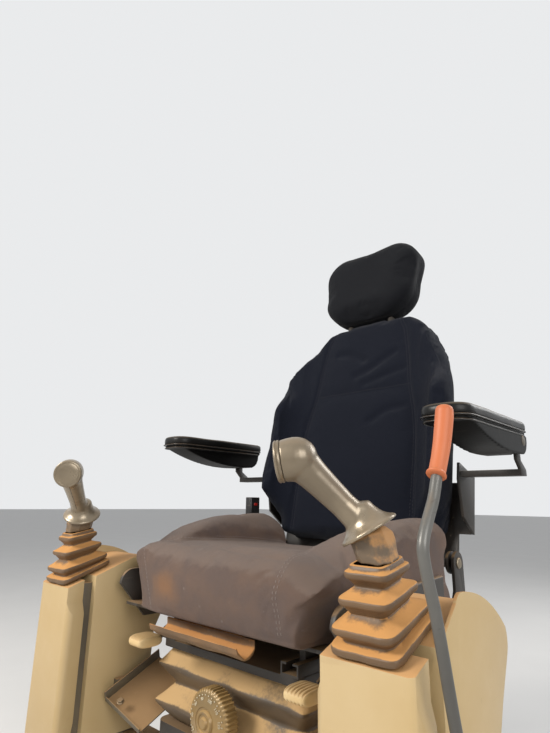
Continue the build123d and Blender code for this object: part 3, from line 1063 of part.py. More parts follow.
# Stick: fork with pins, shaft up to the knee, and the collar under the grip
fork_inner = half + FORK_GAP
fork_outer = fork_inner + FORK_THICKNESS
fork_x0, fork_x1 = px - FORK_HALF_X, px + FORK_HALF_X
stick = block(fork_x0, fork_x1, py - fork_outer, py + fork_outer, pz + FORK_RISE, pz + FORK_CROWN)
for side in (-1, 1):
    y0, y1 = sorted((py + side * fork_inner, py + side * fork_outer))
    stick += block(fork_x0, fork_x1, y0, y1, pz - FORK_DROP, pz + FORK_RISE)
    y0, y1 = sorted((py + side * (half - PIN_ENTRY), py + side * fork_inner))
    stick += rod_y(GIMBAL_PIN_R, y0, y1, px, pz)
shaft_foot = (px, py, pz + FORK_CROWN)
stick += rod_between((px, py, pz + FORK_RISE), shaft_foot, SHAFT_R)
stick += rod_between(shaft_foot, STICK_KNEE, SHAFT_R)
stick += Pos(*STICK_KNEE) * Sphere(SHAFT_R)
stick += rod_between(STICK_KNEE, GRIP_FOOT, SHAFT_R)
save_pair("stick_shaft", stick)

collar_axis = (Vector(*GRIP_FOOT) - Vector(*STICK_KNEE)).normalized()
collar_top = Vector(*GRIP_FOOT) - collar_axis * SEAT_GAP
collar_plane = Plane(origin=collar_top - collar_axis * COLLAR_LENGTH, x_dir=GRIP_TURN, z_dir=collar_axis)
# Collar levels: height, how much each side is cut back
collar_levels = ((-COLLAR_LENGTH, COLLAR_LOW_CUT), (COLLAR_LOW_STEP, 0), (COLLAR_LENGTH - COLLAR_HIGH_STEP, 0),
                 (COLLAR_LENGTH + COLLAR_HIGH_STEP / 3, COLLAR_HIGH_CUT))
collar_sides = [(height, COLLAR_WIDTH - 2 * cut) for height, cut in collar_levels]
collar = loft([collar_plane.offset(height) * make_face(chamfered(side, side, COLLAR_CHAMFER))
               for height, side in collar_sides], ruled=True)
neck_y, neck_z, neck_tilt = BOOT_NECK[:3]
collar -= Pos(BOOT_X, neck_y, neck_z) * Rot(neck_tilt, 0, 0) * block(
    -CUT_HALF, CUT_HALF, -CUT_HALF, CUT_HALF, -CUT_HALF, SEAT_GAP)
collar -= rod_between(STICK_KNEE, GRIP_FOOT, SHAFT_R + SHAFT_GAP)
collar -= Pos(*STICK_KNEE) * Sphere(SHAFT_R + SHAFT_GAP)
collar -= rod_between(shaft_foot, STICK_KNEE, SHAFT_R + SHAFT_GAP)

# Grip: flared skirt, palm swell, head and end cap
foot, head_point = Vector(*GRIP_FOOT), Vector(*GRIP_HEAD)
body_axis = (head_point - foot).normalized()
skirt_axis = (collar_axis + body_axis).normalized()
skirt_plane = Plane(origin=foot, x_dir=GRIP_TURN, z_dir=skirt_axis)
collar -= skirt_plane * block(-CUT_HALF, CUT_HALF, -CUT_HALF, CUT_HALF, -SEAT_GAP, CUT_HALF)
save_pair("stick_collar", collar)
skirt_top = SKIRT_HEIGHT + SKIRT_THICKNESS
skirt_edge = ((SKIRT_R, SKIRT_LIP), (SKIRT_R - SKIRT_LIP / 2, SKIRT_THICKNESS))
skirt_flare = ((SKIRT_R - SKIRT_SWEEP, SKIRT_THICKNESS + SKIRT_LIP), (GRIP_WAIST_R + SKIRT_LIP, skirt_top))
skirt_profile = outline((0, 0), (SKIRT_R - SKIRT_LIP, 0), skirt_edge, skirt_flare, (0, skirt_top))
skirt = skirt_plane * revolve(Plane.XZ * skirt_profile, Axis.Z)
reach = (head_point - foot).length
palm = loft([Plane(origin=foot + body_axis * (reach * share), x_dir=GRIP_TURN, z_dir=body_axis) * Circle(radius)
             for share, radius in PALM_SECTIONS])
grip = skirt + palm + Pos(*GRIP_HEAD) * Sphere(GRIP_HEAD_R)
cap_axis = Vector(*GRIP_CAP_DIRECTION).normalized()
cap_base = head_point + cap_axis * (CAP_REACH - CAP_THICKNESS)
cap_plane = Plane(origin=cap_base, z_dir=cap_axis)
grip += rod_between(GRIP_HEAD, tuple(cap_base), CAP_R)
grip -= cap_plane * Cylinder(GRIP_HEAD_R + CAP_THICKNESS, GRIP_HEAD_R, align=CENTRED_FOOT)
grip -= rod_between(STICK_KNEE, tuple(foot + collar_axis * SHAFT_R), SHAFT_R + SEAT_GAP)
save_pair("grip", grip)
cap = cap_plane * Cylinder(CAP_R, CAP_THICKNESS, align=CENTRED_FOOT)
cap = fillet(cap.edges().sort_by(lambda edge: (edge.center() - head_point).dot(cap_axis))[-1], CAP_EDGE_R)
save_pair("grip_cap", cap)

# Lock lever: bent tube with an eye on the pivot pin
corners = [(LEVER_X, y, z) for y, z in LEVER_PATH]
eye_centre, first_bend = Vector(*corners[0]), Vector(*corners[1])
tube_start = eye_centre + (first_bend - eye_centre).normalized() * (LEVER_EYE_R - LEVER_PIN_ROOT)
path = FilletPolyline(tuple(tube_start), *corners[1:], radius=LEVER_BENDS)
tube = sweep(Plane(origin=path @ 0, z_dir=path % 0) * Circle(LEVER_R), path)
eye = rod_x(LEVER_EYE_R, lever_inner_x, lever_outer_x, LEVER_PIVOT_Y, LEVER_PIVOT_Z)
eye_bore = rod_x(LEVER_PIN_R + PIN_GAP, lever_inner_x, lever_outer_x, LEVER_PIVOT_Y, LEVER_PIVOT_Z)
save("lock_lever", tube + eye - eye_bore)

# Sleeve grip: it follows the tube's last bend and closes over its end, with a lip at the foot
before_bend, last_bend, tube_end = (Vector(*corner) for corner in corners[1:])
grip_foot = last_bend + (before_bend - last_bend).normalized() * LEVER_GRIP_BELOW_BEND
grip_end = tube_end + (tube_end - last_bend).normalized() * LEVER_GRIP_WALL
foot_axis = (last_bend - grip_foot).normalized()


def lever_sleeve(start, end, radius):
    """A round bar along the tube's last bend."""
    line = FilletPolyline(tuple(start), tuple(last_bend), tuple(end), radius=LEVER_BENDS[-1])
    return sweep(Plane(origin=line @ 0, z_dir=line % 0) * Circle(radius), line)


sleeve = lever_sleeve(grip_foot, grip_end, LEVER_GRIP_R)
sleeve = fillet(sleeve.faces().sort_by(Axis.Z)[-1].edges(), LEVER_GRIP_WALL)
sleeve += rod_between(tuple(grip_foot), tuple(grip_foot + foot_axis * LEVER_GRIP_LIP), LEVER_GRIP_LIP_R)
sleeve -= lever_sleeve(grip_foot - foot_axis, tube_end + (grip_end - tube_end) * SHAFT_GAP, LEVER_R + SHAFT_GAP)
save("lock_lever_grip", sleeve)
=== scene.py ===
import logging
import math
from dataclasses import dataclass
from enum import Enum
from typing import Iterable, Sequence

import bmesh
import bpy
import numpy as np
from mathutils import Matrix, Vector
from mathutils.bvhtree import BVHTree


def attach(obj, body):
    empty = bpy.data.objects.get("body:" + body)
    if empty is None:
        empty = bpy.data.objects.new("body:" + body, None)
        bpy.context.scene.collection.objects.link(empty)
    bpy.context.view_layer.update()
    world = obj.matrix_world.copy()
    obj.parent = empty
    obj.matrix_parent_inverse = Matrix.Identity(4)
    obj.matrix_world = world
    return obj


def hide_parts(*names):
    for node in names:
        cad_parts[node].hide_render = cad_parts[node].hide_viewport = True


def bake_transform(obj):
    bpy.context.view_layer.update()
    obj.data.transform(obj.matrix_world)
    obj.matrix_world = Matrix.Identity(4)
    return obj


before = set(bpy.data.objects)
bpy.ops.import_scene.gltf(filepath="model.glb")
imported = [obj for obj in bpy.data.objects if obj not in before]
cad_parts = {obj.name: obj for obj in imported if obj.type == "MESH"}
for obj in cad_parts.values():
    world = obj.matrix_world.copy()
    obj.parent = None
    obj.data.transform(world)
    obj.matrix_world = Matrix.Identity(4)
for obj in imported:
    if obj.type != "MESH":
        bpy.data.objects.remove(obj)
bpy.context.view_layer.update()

# Operator's seat station of an excavator. Metres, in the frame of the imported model:
# +X the operator's left, -Y the way the seat faces, +Z up, origin on the floor.

log = logging.getLogger("seat_station")

Array = np.ndarray
Mesh = bpy.types.Mesh
Piece = bpy.types.Object
Socket = bpy.types.NodeSocket
Colour = tuple[float, float, float]
Point = tuple[float, float, float]
Form = tuple[Array, list]  # points, and faces as point numbers

MM = 0.001
CAD_MERGE = 2e-6  # CAD corners nearer than this are one
FLAT_ANGLE = 0.6  # degrees: CAD faces that bend less than this are one
EDGE_ANGLE = 32.0  # degrees: steeper CAD edges are eased
SIDES = (("left", 1), ("right", -1))
BACKWARD = np.array([0.0, 1.0, 0.0])
UPWARD = np.array([0.0, 0.0, 1.0])

# The backrest's hinge, in millimetres, and the ways up along it and out of it
BACK_LEAN = math.radians(13.5)
BACK_HINGE = (170.0, 470.0)
BACK_UP = np.array([0, math.sin(BACK_LEAN), math.cos(BACK_LEAN)])
BACK_OUT = np.array([0, -math.cos(BACK_LEAN), math.sin(BACK_LEAN)])


def paint(red: int, green: int, blue: int) -> Colour:
    """Turn a screen colour of 0 to 255 into the linear values that shaders take."""
    screen = np.array([red, green, blue]) / 255
    linear = np.where(screen <= 0.04045, screen / 12.92, ((screen + 0.055) / 1.055) ** 2.4)
    return tuple(float(value) for value in linear)


def pair(*names: str) -> tuple[str, ...]:
    """Names on the left and on the right."""
    return tuple(f"{name}_{side}" for name in names for side, _ in SIDES)


def set_up(thing: object, **settings: object) -> object:
    """Set several of a thing's properties and return it."""
    for name, value in settings.items():
        setattr(thing, name, value)
    return thing


# Shader groups and finishes


class Sketch:
    """Places nodes in a node tree and links them."""

    def __init__(self, tree: bpy.types.NodeTree) -> None:
        """Start on a tree."""
        self.tree = tree

    def node(self, kind: str, **settings: object) -> bpy.types.Node:
        """Add a node of a kind with its own settings."""
        return set_up(self.tree.nodes.new("ShaderNode" + kind), **settings)

    def feed(self, socket: Socket, value: object) -> None:
        """Link a socket to another, or set it to a plain value."""
        if isinstance(value, Socket):
            self.tree.links.new(value, socket)
        else:
            socket.default_value = value

    def fed(self, node: bpy.types.Node, *values: object) -> bpy.types.Node:
        """Feed a node's inputs in order and return it."""
        for socket, value in zip(node.inputs, values):
            self.feed(socket, value)
        return node

    def math(self, operation: str, first: object, second: object = 0.0, clamp: bool = False) -> Socket:
        """Work out one sum on values.

        Args:
            operation: the name of the sum.
            first, second: its terms, sockets or numbers.
            clamp: whether the result is kept from 0 to 1.

        Returns:
            The result's socket.
        """
        return self.fed(self.node("Math", operation=operation, use_clamp=clamp), first, second).outputs[0]

    def vector(self, operation: str, *terms: object) -> bpy.types.Node:
        """Work out one sum on vectors."""
        return self.fed(self.node("VectorMath", operation=operation), *terms)

    def remap(self, value: object, low: object, high: object, to_low: float = 0.0, to_high: float = 1.0) -> Socket:
        """Stretch low to high onto another range, clamped and eased.

        Args:
            value: the value to stretch.
            low, high: the stretch of it that counts.
            to_low, to_high: what they become.

        Returns:
            The result's socket.
        """
        made = self.node("MapRange", interpolation_type="SMOOTHSTEP")
        return self.fed(made, value, low, high, to_low, to_high).outputs[0]

    def noise(self, vector: object, scale: object, detail: float = 4.0, roughness: float = 0.55) -> Socket:
        """Cloudy noise of 0 to 1 at a scale in waves a metre."""
        made = self.node("TexNoise")
        self.feed_named(made, Vector=vector, Scale=scale, Detail=detail, Roughness=roughness)
        return made.outputs["Fac"]

    def mix(self, share: object, first: object, second: object) -> Socket:
        """Blend two colours.

        Args:
            share: how much of the second colour shows, 0 to 1.
            first, second: the colours, sockets or linear values.

        Returns:
            The blended colour's socket.
        """
        made = self.node("Mix", data_type="RGBA")
        self.feed(made.inputs[0], share)
        for socket, colour in ((made.inputs[6], first), (made.inputs[7], second)):
            self.feed(socket, colour if isinstance(colour, Socket) else (*colour, 1.0))
        return made.outputs[2]

    def place(self) -> Socket:
        """The point on the piece, in its own metres."""
        return self.node("TexCoord").outputs["Object"]

    def feed_named(self, node: bpy.types.Node, **values: object) -> None:
        """Feed a node's inputs by name, with _ for a space."""
        for name, value in values.items():
            self.feed(node.inputs[name.replace("_", " ")], value)

    def group(self, tree: bpy.types.NodeTree, **values: object) -> bpy.types.Node:
        """Place a group and feed its inputs."""
        made = self.node("Group", node_tree=tree)
        self.feed_named(made, **values)
        return made


class Group(Sketch):
    """A new shader node group, with what it is given and what it gives."""

    def __init__(self, name: str, inputs: dict[str, float], *outputs: str) -> None:
        """Start the group.

        Args:
            name: the group's name.
            inputs: its inputs with their usual values.
            outputs: the names of its value outputs.
        """
        super().__init__(bpy.data.node_groups.new(name, "ShaderNodeTree"))
        for title, usual in inputs.items():
            socket = self.tree.interface.new_socket(name=title, in_out="INPUT", socket_type="NodeSocketFloat")
            socket.default_value = usual
        for title in outputs:
            self.tree.interface.new_socket(name=title, in_out="OUTPUT", socket_type="NodeSocketFloat")
        self.given = self.tree.nodes.new("NodeGroupInput").outputs
        self.result = self.tree.nodes.new("NodeGroupOutput")


class Effects:
    """The shader groups that several finishes share, each built once."""

    def __init__(self) -> None:
        """Build every group."""
        self.dust = self.build_dust()
        self.grain = self.build_grain()
        self.weave = self.build_weave()
        self.blotch = self.build_blotch()
        self.scuff = self.build_scuff()

    def build_dust(self) -> bpy.types.NodeTree:
        """Soil that settles where a surface faces up, broken up by cloudy noise."""
        group = Group("settled_dust", {"Amount": 0.5, "Scale": 14.0, "Slope": 0.1}, "Mask")
        facing = group.fed(group.node("SeparateXYZ"), group.node("NewGeometry").outputs["Normal"])
        place = group.place()
        coarse = group.noise(place, group.given["Scale"], 6.0, 0.62)
        fine = group.noise(place, group.math("MULTIPLY", group.given["Scale"], 14.0), 4.0, 0.6)
        patch = group.math("ADD", group.math("MULTIPLY", coarse, 0.75), group.math("MULTIPLY", fine, 0.25))
        level = group.remap(facing.outputs["Z"], group.given["Slope"], 0.95)
        threshold = group.math("SUBTRACT", 0.86, group.math("MULTIPLY", level, 0.62))
        mask = group.remap(patch, group.math("SUBTRACT", threshold, 0.14), group.math("ADD", threshold, 0.12))
        group.fed(group.result, group.math("MULTIPLY", mask, group.given["Amount"], clamp=True))
        return group.tree

    def build_grain(self) -> bpy.types.NodeTree:
        """The fine leathery grain of a moulding: cells with soft rims and finer noise in them."""
        group = Group("moulded_grain", {"Scale": 900.0}, "Height")
        place = group.place()
        cells = group.node("TexVoronoi", feature="SMOOTH_F1")
        group.feed_named(cells, Vector=place, Scale=group.given["Scale"])
        fine = group.noise(place, group.math("MULTIPLY", group.given["Scale"], 2.3), 2.0)
        group.fed(group.result, group.math("ADD", cells.outputs["Distance"], group.math("MULTIPLY", fine, 0.5)))
        return group.tree

    def build_weave(self) -> bpy.types.NodeTree:
        """Plain weave on the piece's own cloth map: warp and weft ride over each other in turn."""
        group = Group("plain_weave", {"Threads": 620.0}, "Height", "Fleck")
        split = group.fed(group.node("SeparateXYZ"), group.node("UVMap", uv_map="cloth").outputs[0])
        warp, weft = (group.math("SINE", group.math("MULTIPLY", group.math(
            "MULTIPLY", split.outputs[way], group.given["Threads"]), math.tau)) for way in "XY")
        over = group.math("MULTIPLY", warp, weft)
        group.fed(group.result, group.math("ADD", group.math("MULTIPLY", over, 0.5), 0.5),
                  group.noise(group.place(), 900.0, 2.0))
        return group.tree

    def build_blotch(self) -> bpy.types.NodeTree:
        """Large soft patches where a colour has faded or soiled."""
        group = Group("soft_blotches", {"Scale": 6.0, "Contrast": 0.5}, "Mask")
        cloud = group.noise(group.place(), group.given["Scale"], 5.0, 0.6)
        spread = group.math("SUBTRACT", 0.36, group.math("MULTIPLY", group.given["Contrast"], 0.25))
        group.fed(group.result, group.remap(
            cloud, group.math("SUBTRACT", 0.5, spread), group.math("ADD", 0.5, spread)))
        return group.tree

    def build_scuff(self) -> bpy.types.NodeTree:
        """Thin scratches and rubbed spots: noise stretched along two ways, with a high threshold."""
        group = Group("scuffs", {"Amount": 0.5, "Scale": 60.0}, "Mask")
        masks = []
        for stretch, turn in (((1.0, 0.06, 1.0), 0.5), ((0.07, 1.0, 0.4), 1.9)):
            turned = group.node("Mapping")
            group.feed_named(turned, Vector=group.place(), Rotation=(turn, turn * 0.7, turn * 1.3), Scale=stretch)
            masks.append(group.remap(group.noise(turned.outputs[0], group.given["Scale"], 3.0, 0.7), 0.66, 0.74))
        both = group.math("MAXIMUM", *masks)
        group.fed(group.result, group.math("MULTIPLY", both, group.given["Amount"], clamp=True))
        return group.tree


class Surface(Enum):
    """What gives a finish its fine relief."""

    MOULDED = "moulded"
    CLOTH = "cloth"
    PAINTED = "painted"
    BARE = "bare"


@dataclass(frozen=True)
class Spot:
    """A soft stain round a point."""

    centre: Point
    radius: float
    colour: Colour
    strength: float = 0.6
    stretch: Point = (1.0, 1.0, 1.0)


@dataclass(frozen=True)
class Finish:
    """A surface finish: colour and its variation, relief, dust, scuffs and stains."""

    name: str
    slot: str
    colour: Colour
    second: Colour
    roughness: float
    surface: Surface = Surface.MOULDED
    metallic: float = 0.0
    coat: float = 0.0
    sheen: float = 0.0
    relief: float = 0.00006
    relief_scale: float = 900.0
    dust: float = 0.5
    dust_colour: Colour = paint(176, 140, 98)
    dust_scale: float = 14.0
    dust_slope: float = 0.1
    scuffs: float = 0.25
    scuff_colour: Colour = paint(150, 135, 115)
    blotch_scale: float = 7.0
    specular: float = 0.5
    spots: tuple[Spot, ...] = ()

    def build(self, effects: Effects) -> bpy.types.Material:
        """Make the material with the shared shader groups."""
        material = bpy.data.materials.new(self.name)
        material.use_nodes = True
        sketch = Sketch(material.node_tree)
        shader = material.node_tree.nodes["Principled BSDF"]
        blotch = sketch.group(effects.blotch, Scale=self.blotch_scale).outputs["Mask"]
        colour, metallic = sketch.mix(blotch, self.colour, self.second), self.metallic
        rough = sketch.remap(blotch, 0.0, 1.0, self.roughness - 0.05, self.roughness + 0.06)
        if self.surface is Surface.CLOTH:
            weave = sketch.group(effects.weave, Threads=self.relief_scale)
            colour = sketch.mix(sketch.remap(weave.outputs["Fleck"], 0.35, 0.7, 0.0, 0.30), colour,
                                tuple(min(1.0, 1.7 * part + 0.01) for part in self.colour))
            height = weave.outputs["Height"]
        else:
            height = sketch.group(effects.grain, Scale=self.relief_scale).outputs["Height"]
        for spot in self.spots:
            offset = sketch.vector("SUBTRACT", sketch.place(), spot.centre)
            reach = sketch.vector("LENGTH", sketch.vector("MULTIPLY", offset.outputs[0], spot.stretch).outputs[0])
            cloud = sketch.math("MULTIPLY", sketch.noise(sketch.place(), 45.0, 5.0, 0.6), spot.radius)
            edge = sketch.math("ADD", reach.outputs["Value"], sketch.math("MULTIPLY", cloud, 0.8))
            mask = sketch.remap(edge, spot.radius * 1.35, spot.radius * 0.5, 0.0, spot.strength)
            colour = sketch.mix(mask, colour, spot.colour)
        if self.scuffs:
            scuff = sketch.group(effects.scuff, Amount=self.scuffs).outputs["Mask"]
            colour = sketch.mix(scuff, colour, self.scuff_colour)
        if self.dust:
            dust = sketch.group(effects.dust, Amount=self.dust, Scale=self.dust_scale,
                                Slope=self.dust_slope).outputs["Mask"]
            colour = sketch.mix(dust, colour, self.dust_colour)
            rough = sketch.math("ADD", rough, sketch.math("MULTIPLY", dust, 0.45), clamp=True)
            if metallic:
                metallic = sketch.math("MULTIPLY", sketch.math("SUBTRACT", 1.0, dust), metallic)
        sketch.feed_named(shader, Base_Color=colour, Roughness=rough, Metallic=metallic, Coat_Weight=self.coat,
                          Coat_Roughness=0.25, Specular_IOR_Level=self.specular, Sheen_Weight=self.sheen)
        if self.surface is not Surface.BARE:
            bump = sketch.node("Bump")
            sketch.feed_named(bump, Distance=self.relief, Height=height)
            sketch.feed(shader.inputs["Normal"], bump.outputs[0])
        return material


class Finishes:
    """Every finish of the station, built once and handed out by name."""

    TABLE = (
        Finish("rail_steel_dark", "rail_steel", paint(74, 66, 57), paint(98, 84, 68), 0.62, Surface.PAINTED,
               dust=0.75, scuffs=0.4, relief=0.0001, relief_scale=500),
        Finish("pedestal_coat", "pedestal_paint", paint(92, 80, 66), paint(116, 98, 76), 0.6, Surface.PAINTED,
               dust=0.8, scuffs=0.3, relief=0.0001, relief_scale=500),
        Finish("black_coat", "black_steel", paint(34, 31, 28), paint(52, 45, 38), 0.5, Surface.PAINTED,
               dust=0.6, dust_colour=paint(140, 112, 78), scuffs=0.35, relief=0.00008, relief_scale=600),
        Finish("gaiter_skin", "gaiter_rubber", paint(70, 60, 48), paint(104, 86, 64), 0.5, dust=0.95,
               dust_colour=paint(194, 160, 112), dust_slope=-0.1, relief_scale=700, scuffs=0.3),
        Finish("knob_moulding", "knob_plastic", paint(112, 94, 60), paint(158, 128, 80), 0.36, metallic=0.25,
               coat=0.2, dust=0.45, dust_colour=paint(196, 160, 104), scuffs=0.4, scuff_colour=paint(206, 180, 130)),
        Finish("armrest_bead", "armrest_plastic", paint(30, 28, 26), paint(38, 34, 30), 0.3, Surface.BARE,
               dust=0.25, scuffs=0.1),
        # Painted light: the seat cushion's cloth is the seat fabric in the lighter tone it takes in sunlight; its stain
        # is a real mark.
        Finish("seat_cloth_painted_sunlit", "seat_fabric", paint(88, 76, 72), paint(112, 90, 76), 0.9, Surface.CLOTH, specular=0.2,
               sheen=0.08, relief=0.0003, relief_scale=900, dust=0.32, dust_colour=paint(140, 126, 116),
               dust_scale=12, scuffs=0.3, scuff_colour=paint(158, 148, 140), blotch_scale=12,
               spots=(Spot((-0.082, -0.280, 0.438), 0.034, paint(146, 104, 66), 0.55, (0.5, 0.6, 1.0)),)),
        # Painted shade: the back cushion's cloth is the same seat fabric in the dark navy it takes in shade.
        Finish("back_cloth_painted_shade", "seat_fabric", paint(13, 17, 28), paint(20, 23, 33), 0.9, Surface.CLOTH, specular=0.1,
               sheen=0.05, relief=0.0003, relief_scale=900, dust=0.14, dust_colour=paint(78, 78, 82),
               dust_scale=9, scuffs=0.04, scuff_colour=paint(80, 74, 72), blotch_scale=8),
        Finish("headrest_cloth", "headrest_fabric", paint(10, 12, 17), paint(15, 16, 21), 0.8, Surface.CLOTH,
               specular=0.12, sheen=0.04, relief=0.0003, relief_scale=1000, dust=0.05,
               dust_colour=paint(80, 74, 68), scuffs=0.0, blotch_scale=10),
        Finish("dark_moulding", "dark_plastic", paint(52, 49, 46), paint(66, 60, 54), 0.5, dust=0.5, scuffs=0.25),
        Finish("dusty_handle", "dark_plastic", paint(96, 78, 58), paint(150, 112, 72), 0.62, dust=0.95,
               dust_colour=paint(188, 134, 80), dust_slope=-0.35, dust_scale=20),
        Finish("cream_moulding", "cream_plastic", paint(228, 204, 158), paint(212, 182, 130), 0.48, dust=0.35,
               scuffs=0.15, scuff_colour=paint(120, 100, 74)),
        Finish("plated_post", "post_steel", paint(180, 180, 178), paint(160, 160, 158), 0.22, Surface.BARE,
               metallic=1.0, dust=0.0, scuffs=0.1),
        Finish("armrest_skin", "armrest_plastic", paint(9, 9, 8), paint(17, 15, 13), 0.38, specular=0.22, dust=0.22,
               dust_colour=paint(142, 124, 100), dust_scale=10, scuffs=0.15, coat=0.05),
        # Painted shade: the armrests' shells are the pads' plastic painted darker, for the shade under the armrests.
        Finish("armrest_underside", "armrest_plastic", paint(6, 6, 5), paint(11, 10, 9), 0.46, specular=0.1,
               dust=0.06, dust_colour=paint(120, 104, 84), dust_scale=10, scuffs=0.08),
        Finish("belt_moulding", "belt_plastic", paint(34, 33, 33), paint(46, 44, 42), 0.42, dust=0.3),
        Finish("console_moulding", "console_plastic", paint(194, 171, 129), paint(184, 158, 112), 0.42,
               relief=0.00005, relief_scale=1100, dust=0.85, dust_colour=paint(196, 146, 92), dust_scale=18,
               scuffs=0.2, scuff_colour=paint(160, 132, 96), coat=0.08, blotch_scale=4),
        Finish("bracket_coat", "bracket_paint", paint(78, 73, 64), paint(104, 94, 76), 0.55, Surface.PAINTED,
               dust=0.85, scuffs=0.4, relief=0.0001, relief_scale=500),
        Finish("boot_skin", "boot_rubber", paint(88, 68, 48), paint(112, 86, 58), 0.5, dust=1.0,
               dust_colour=paint(200, 146, 86), dust_slope=0.25, dust_scale=22, relief=0.0001, relief_scale=600,
               scuffs=0.3, scuff_colour=paint(160, 126, 84)),
        Finish("stick_metal", "stick_steel", paint(120, 116, 110), paint(98, 92, 84), 0.4, Surface.BARE,
               metallic=0.9, dust=0.3),
        Finish("grip_moulding", "grip_plastic", paint(148, 134, 112), paint(116, 104, 86), 0.3, relief=0.00003,
               relief_scale=1300, metallic=0.45, dust=0.16, dust_colour=paint(168, 140, 104), coat=0.3,
               scuffs=0.12),
        Finish("collar_skin", "boot_rubber", paint(96, 82, 66), paint(120, 100, 76), 0.5, dust=0.75,
               dust_colour=paint(196, 146, 92), dust_slope=-0.5, dust_scale=24, relief=0.0001, relief_scale=600,
               scuffs=0.3),
        Finish("dark_line", "grip_plastic", paint(34, 29, 24), paint(40, 34, 28), 0.6, Surface.BARE, dust=0.0,
               scuffs=0.0),
        Finish("lever_coat", "lever_paint", paint(104, 103, 99), paint(84, 82, 78), 0.4, Surface.PAINTED,
               metallic=0.25, dust=0.15, scuffs=0.5, scuff_colour=paint(52, 48, 46),
               spots=(Spot((0.4335, -0.3095, 0.655), 0.006, paint(170, 52, 40), 0.9),
                      Spot((0.4335, -0.3230, 0.628), 0.005, paint(160, 50, 40), 0.9),
                      Spot((0.4335, -0.3140, 0.640), 0.005, paint(30, 28, 28), 0.9))),
        Finish("orange_sleeve", "orange_grip", paint(196, 111, 68), paint(184, 93, 54), 0.55, relief=0.00003,
               relief_scale=1500, dust=0.12, scuffs=0.2, scuff_colour=paint(180, 96, 66)),
        Finish("red_button", "belt_plastic", paint(168, 34, 28), paint(150, 30, 26), 0.4, dust=0.1, scuffs=0.1),
        Finish("belt_webbing", "belt_plastic", paint(36, 35, 36), paint(48, 46, 46), 0.85, Surface.CLOTH,
               relief=0.0004, relief_scale=400, dust=0.2, scuffs=0.0),
        Finish("seam_thread", "seat_fabric", paint(150, 138, 132), paint(132, 120, 116), 0.8, Surface.BARE,
               dust=0.0, scuffs=0.0),
        Finish("dark_thread", "seat_fabric", paint(44, 43, 50), paint(52, 50, 56), 0.8, Surface.BARE,
               dust=0.0, scuffs=0.0),
        Finish("zinc_bolt", "rail_steel", paint(150, 140, 122), paint(128, 112, 90), 0.45, Surface.BARE,
               metallic=0.8, dust=0.4, scuffs=0.2),
        Finish("dial_mark", "knob_plastic", paint(214, 204, 180), paint(190, 178, 150), 0.5, Surface.BARE,
               dust=0.2, scuffs=0.0),
    )

    def __init__(self) -> None:
        """Build the materials of the table."""
        effects = Effects()
        self.slots = {finish.name: finish.slot for finish in self.TABLE}
        self.materials = {finish.name: finish.build(effects) for finish in self.TABLE}

    def dress(self, piece: Piece, name: str) -> Piece:
        """Give a piece one of the finishes."""
        piece.data.materials.clear()
        piece.data.materials.append(self.materials[name])
        return piece

    def put(self, name: str, form: Form, finish: str, body: str, sharp_angle: float = 40.0, node: str = "") -> None:
        """Make a piece, dress it and let it ride on a body.

        Args:
            name: the piece's name.
            form: its points and faces.
            finish: its finish's name.
            body: the body that it rides on.
            sharp_angle: edges steeper than this many degrees stay sharp.
            node: the CAD node that it replaces, if any.
        """
        piece = make_piece(name, *form, sharp_angle)
        if node:
            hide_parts(node)
        settle(self.dress(piece, finish), body)

    def put_pair(self, name: str, form: Form, finish: str, body: str, sharp_angle: float = 40.0,
                 node: str = "") -> None:
        """Put a piece on the left and its mirror image on the right; {} in a name stands for the side."""
        points, faces = form
        for side, sign in SIDES:
            self.put(name.format(side), (points * [sign, 1, 1], faces), finish, body.format(side), sharp_angle,
                     node.format(side))


# Meshes from arrays


def grid_faces(rows: int, columns: int, closed: bool = True) -> Array:
    """Quads of a grid whose points run row by row.

    Args:
        rows, columns: the grid's size.
        closed: whether each row is a ring.

    Returns:
        The quads as an array of point numbers.
    """
    across = columns if closed else columns - 1
    row, column = np.meshgrid(np.arange(rows - 1), np.arange(across), indexing="ij")
    after = (column + 1) % columns
    corners = (row * columns + column, row * columns + after, (row + 1) * columns + after, (row + 1) * columns + column)
    return np.stack(corners, axis=-1).reshape(-1, 4)


def placed(name: str, data: bpy.types.ID) -> Piece:
    """A new object in the scene."""
    piece = bpy.data.objects.new(name, data)
    bpy.context.scene.collection.objects.link(piece)
    return piece


def clean_mesh(name: str, points: Array, faces: Iterable[Sequence[int]], merge: float = 1e-6,
               flat_angle: float = 0.0) -> Mesh:
    """Put points and faces into a mesh and merge its doubled corners.

    Args:
        name: the mesh's name.
        points: its corners, n by 3, in metres.
        faces: its faces as point numbers.
        merge: corners nearer than this are one.
        flat_angle: faces that meet at less than this many degrees become one. With 0, none do, and the
            normals are turned outward instead.

    Returns:
        The mesh.
    """
    mesh = bpy.data.meshes.new(name)
    mesh.from_pydata(np.asarray(points, float).tolist(), [], [list(map(int, face)) for face in faces])
    work = bmesh.new()
    work.from_mesh(mesh)
    bmesh.ops.remove_doubles(work, verts=work.verts, dist=merge)
    if flat_angle:
        bmesh.ops.dissolve_limit(work, angle_limit=math.radians(flat_angle), verts=work.verts, edges=work.edges)
    else:
        bmesh.ops.recalc_face_normals(work, faces=work.faces)
    work.to_mesh(mesh)
    work.free()
    return mesh


def smoothed(mesh: Mesh) -> Mesh:
    """Shade all faces of a mesh smooth."""
    mesh.polygons.foreach_set("use_smooth", np.ones(len(mesh.polygons), bool))
    return mesh


def show_mesh(name: str, mesh: Mesh, sharp_angle: float = 40.0) -> Piece:
    """Shade a mesh smooth up to an angle and put it in the scene."""
    smoothed(mesh).set_sharp_from_angle(angle=math.radians(sharp_angle))
    return placed(name, mesh)


def make_piece(name: str, points: Array, faces: Iterable[Sequence[int]], sharp_angle: float = 40.0) -> Piece:
    """Put points and faces into the scene as a piece, smooth up to an angle."""
    return show_mesh(name, clean_mesh(name, points, faces), sharp_angle)


